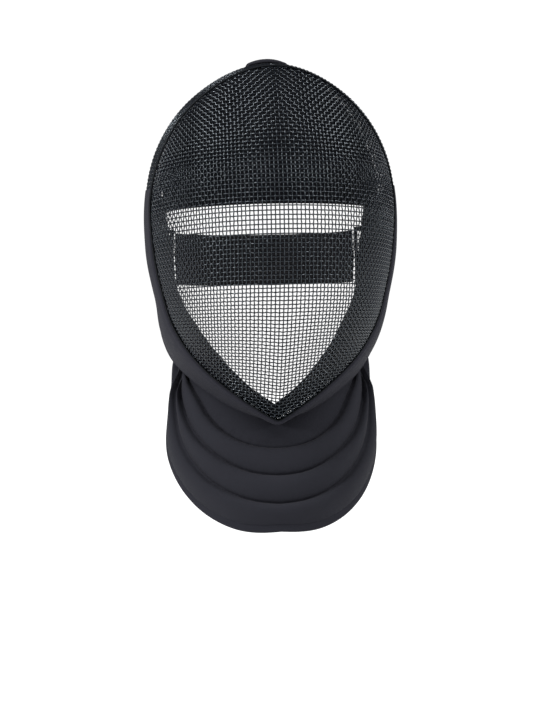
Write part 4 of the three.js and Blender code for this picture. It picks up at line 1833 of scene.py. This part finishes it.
@dataclass
class Tongue:
    """The cloth-covered spring over the back of the head, and the pad at its end.

    Its path is y and z of its middle, from its sewn end on the crown to its free end.
    """

    width: float = 31.0
    wall: float = 2.2
    dome: float = 1.2
    droop: float = 2.6
    pad_width: float = 56.0
    pad_wall: float = 9.0
    pad_length: float = 46.0
    pad_edge: float = 0.35
    pad_fullness: float = 0.6
    pad_gap: float = 0.3
    pad_round: float = 0.8
    pad_thin_edge: float = 0.4
    thin_edge: float = 0.3
    sewn_at: float = 0.13
    sewn_sink: float = 0.25
    stitch: Stitch = Stitch()
    route_points: int = 600
    path: tuple[tuple[float, float], ...] = (
        (-18, 10.2), (-4, 12.6), (8, 14.7), (16, 15.8), (27, 16.0),
        (49, 12.5), (72, -1), (90, -22), (99, -50),
    )

    @cached_property
    def route(self) -> Array:
        """Evenly spaced points of its path."""
        return catmull(np.array(self.path), self.route_points)

    def point(self, along: Array, across: Array, lift: Array) -> Array:
        """A point off its path.

        Args:
            along: the path, from 0 to 1.
            across: the path, in mm from its middle.
            lift: off its middle, outwards.

        Returns:
            The point, in mm, its edges drooping.
        """
        y, z, ty, tz = curve_at(self.route, along)
        off = lift - self.droop * (2 * across / self.width) ** 2
        return np.stack([across, y - tz * off, z + ty * off], axis=-1)

    def rule(self, u: Array, v: Array, side: int) -> Array:
        """A point of the spring's sleeve, sunk a little at its sewn lines.

        Args:
            u: from 0 at its sewn end to 1 at its free end.
            v: from 0 at one edge to 1 at the other.
            side: 1 for the outer face, 0 for the inner one.

        Returns:
            The point, in mm.
        """
        rim = eased(v, 0.06) * eased(u, 0.01)
        half = self.wall / 2 * (self.thin_edge + (1 - self.thin_edge) * rim)
        seam = self.sewn_sink * np.exp(-(((np.minimum(v, 1 - v) - self.sewn_at) / 0.015) ** 2))
        dome = self.dome * 4 * v * (1 - v) * eased(u, 0.05) if side else 0
        lift = (1 if side else -1) * (half - seam) + dome
        return self.point(u, (v - 0.5) * self.width, lift)

    def pad_rule(self, u: Array, v: Array, side: int) -> Array:
        """A point of the pad, under the sleeve's free end.

        Args:
            u: from 0 at its upper end to 1 at the sleeve's free end.
            v: from 0 at one edge to 1 at the other.
            side: 1 for the face at the sleeve, 0 for the one at the head.

        Returns:
            The point, in mm.
        """
        start = 1 - self.pad_length / length_of(self.route)
        full = (np.sin(np.pi * u) * np.sin(np.pi * v)).clip(0) ** self.pad_fullness
        rim = eased(u, 0.06) * eased(v, 0.05)
        top = -self.wall / 2 - self.pad_gap
        deep = self.pad_wall * (self.pad_edge + (1 - self.pad_edge) * full)
        thin = self.pad_thin_edge + (1 - self.pad_thin_edge) * rim
        lift = top - self.pad_round * (1 - rim) if side else top - deep * thin
        return self.point(start + (1 - start) * u, (v - 0.5) * self.pad_width, lift)

    def build(self) -> None:
        """Makes the tongue, its stitches and its pad."""
        piece = shell("tongue_sleeve", self.rule, (150, 40), pull=0.4)
        finish_piece(piece, Finish.BIB, ["tongue"])
        u = np.linspace(0.01, 0.99, 240)
        for hand, share in (("left", self.sewn_at), ("right", 1 - self.sewn_at)):
            v = np.full_like(u, share)
            row = self.rule(u, v, 1)
            off = unit(row - self.rule(u, v, 0))
            self.stitch.sew(f"tongue_stitches_{hand}", row + off * ON_CLOTH, off, "cover_cloth")
        pad = shell("tongue_cushion", self.pad_rule, (60, 60), pull=0.4)
        finish_piece(pad, Finish.LINING, ["tongue_pad"])


# ---------------------------------------------------------------------------------------------
# Studio
# ---------------------------------------------------------------------------------------------


@dataclass(frozen=True)
class Sun:
    """A broad soft light from far away.

    It comes from a place in metres, its strength is in watts a square metre, and its spread is how
    wide it looks, in degrees.
    """

    name: str
    place_at: tuple[float, float, float]
    strength: float
    spread: float

    def shine(self, target: Vector) -> None:
        """Stands the light at its place, turned towards a target."""
        lamp = bpy.data.lights.new(self.name, "SUN")
        lamp.energy = self.strength
        lamp.angle = math.radians(self.spread)
        holder = bpy.data.objects.new(self.name, lamp)
        holder.location = self.place_at
        ahead = target - Vector(self.place_at)
        holder.rotation_euler = ahead.to_track_quat("-Z", "Y").to_euler()
        bpy.context.scene.collection.objects.link(holder)


@dataclass
class StudioSet:
    """Floor, lights and camera. Places are in metres, angles in degrees, the lens in mm.

    The low suns draw lines of light along the wires, and the high ones shade the bib's rolls.
    """

    floor_level: float = -0.95
    floor_size: float = 60.0
    target: tuple[float, float, float] = (0.0, -0.035, -0.225)
    distance: float = 1.305
    azimuth: float = -4.5
    roll: float = -1.25
    sensor: float = 36.0
    lens: float = 83.64051
    shift_x: float = -0.0135021
    fill: float = 0.07
    white: float = 1.05
    suns: tuple[Sun, ...] = (
        Sun("low_left", (-1.7, -1.0, 0.2), 2.0, 9),
        Sun("low_right", (1.7, -1.0, 0.2), 1.1, 9),
        Sun("high_left", (-1.2, -0.45, 1.3), 2.8, 24),
        Sun("high_right", (1.2, -0.45, 1.3), 2.0, 24),
    )

    def floor(self) -> None:
        """A wide pale floor."""
        deselect()
        bpy.ops.mesh.primitive_grid_add(
            x_subdivisions=8, y_subdivisions=8, size=self.floor_size, location=(0, 0, self.floor_level)
        )
        piece = bpy.context.object
        piece.name = "floor"
        Finish.FLOOR.on(piece)

    def camera(self) -> None:
        """The camera, level, in front of the face and slightly to one side."""
        turn = math.radians(self.azimuth)
        ahead = Vector((-math.sin(turn), math.cos(turn), 0))
        data = bpy.data.cameras.new("camera")
        data.sensor_fit = "AUTO"
        data.sensor_width = self.sensor
        data.lens = self.lens
        data.shift_x = self.shift_x
        holder = bpy.data.objects.new("camera", data)
        holder.location = Vector(self.target) - ahead * self.distance
        facing = ahead.to_track_quat("-Z", "Y")
        holder.rotation_mode = "QUATERNION"
        holder.rotation_quaternion = facing @ Quaternion((0, 0, 1), math.radians(self.roll))
        bpy.context.scene.collection.objects.link(holder)
        bpy.context.scene.camera = holder

    def world(self) -> None:
        """White all round, with little light of its own."""
        world = bpy.data.worlds.new("studio")
        bpy.context.scene.world = world
        world.use_nodes = True
        tree = world.node_tree
        back = tree.nodes["Background"]
        back.inputs["Color"].default_value = (1, 1, 1, 1)
        seen = tree.nodes.new("ShaderNodeLightPath")
        strength = tree.nodes.new("ShaderNodeMapRange")
        strength.inputs["To Min"].default_value = self.fill
        strength.inputs["To Max"].default_value = self.white
        tree.links.new(seen.outputs["Is Camera Ray"], strength.inputs["Value"])
        tree.links.new(strength.outputs["Result"], back.inputs["Strength"])
        bpy.context.scene.view_settings.view_transform = "Standard"

    def build(self) -> None:
        """Sets it all up."""
        self.floor()
        self.world()
        for sun in self.suns:
            sun.shine(Vector(self.target))
        self.camera()


def main() -> None:
    """Builds the mask's pieces in order, then the studio."""
    logging.basicConfig(level=logging.INFO, format="%(message)s")
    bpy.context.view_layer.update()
    for assembly in (
        WovenBowl(), WovenSides(), Edges(), COVER_CLOTH, Bib(),
        CrownLining(), SideLining(), BackStrap(), Tongue(),
    ):
        assembly.build()
    StudioSet().build()
    deselect()


if __name__ == "__main__":
    main()
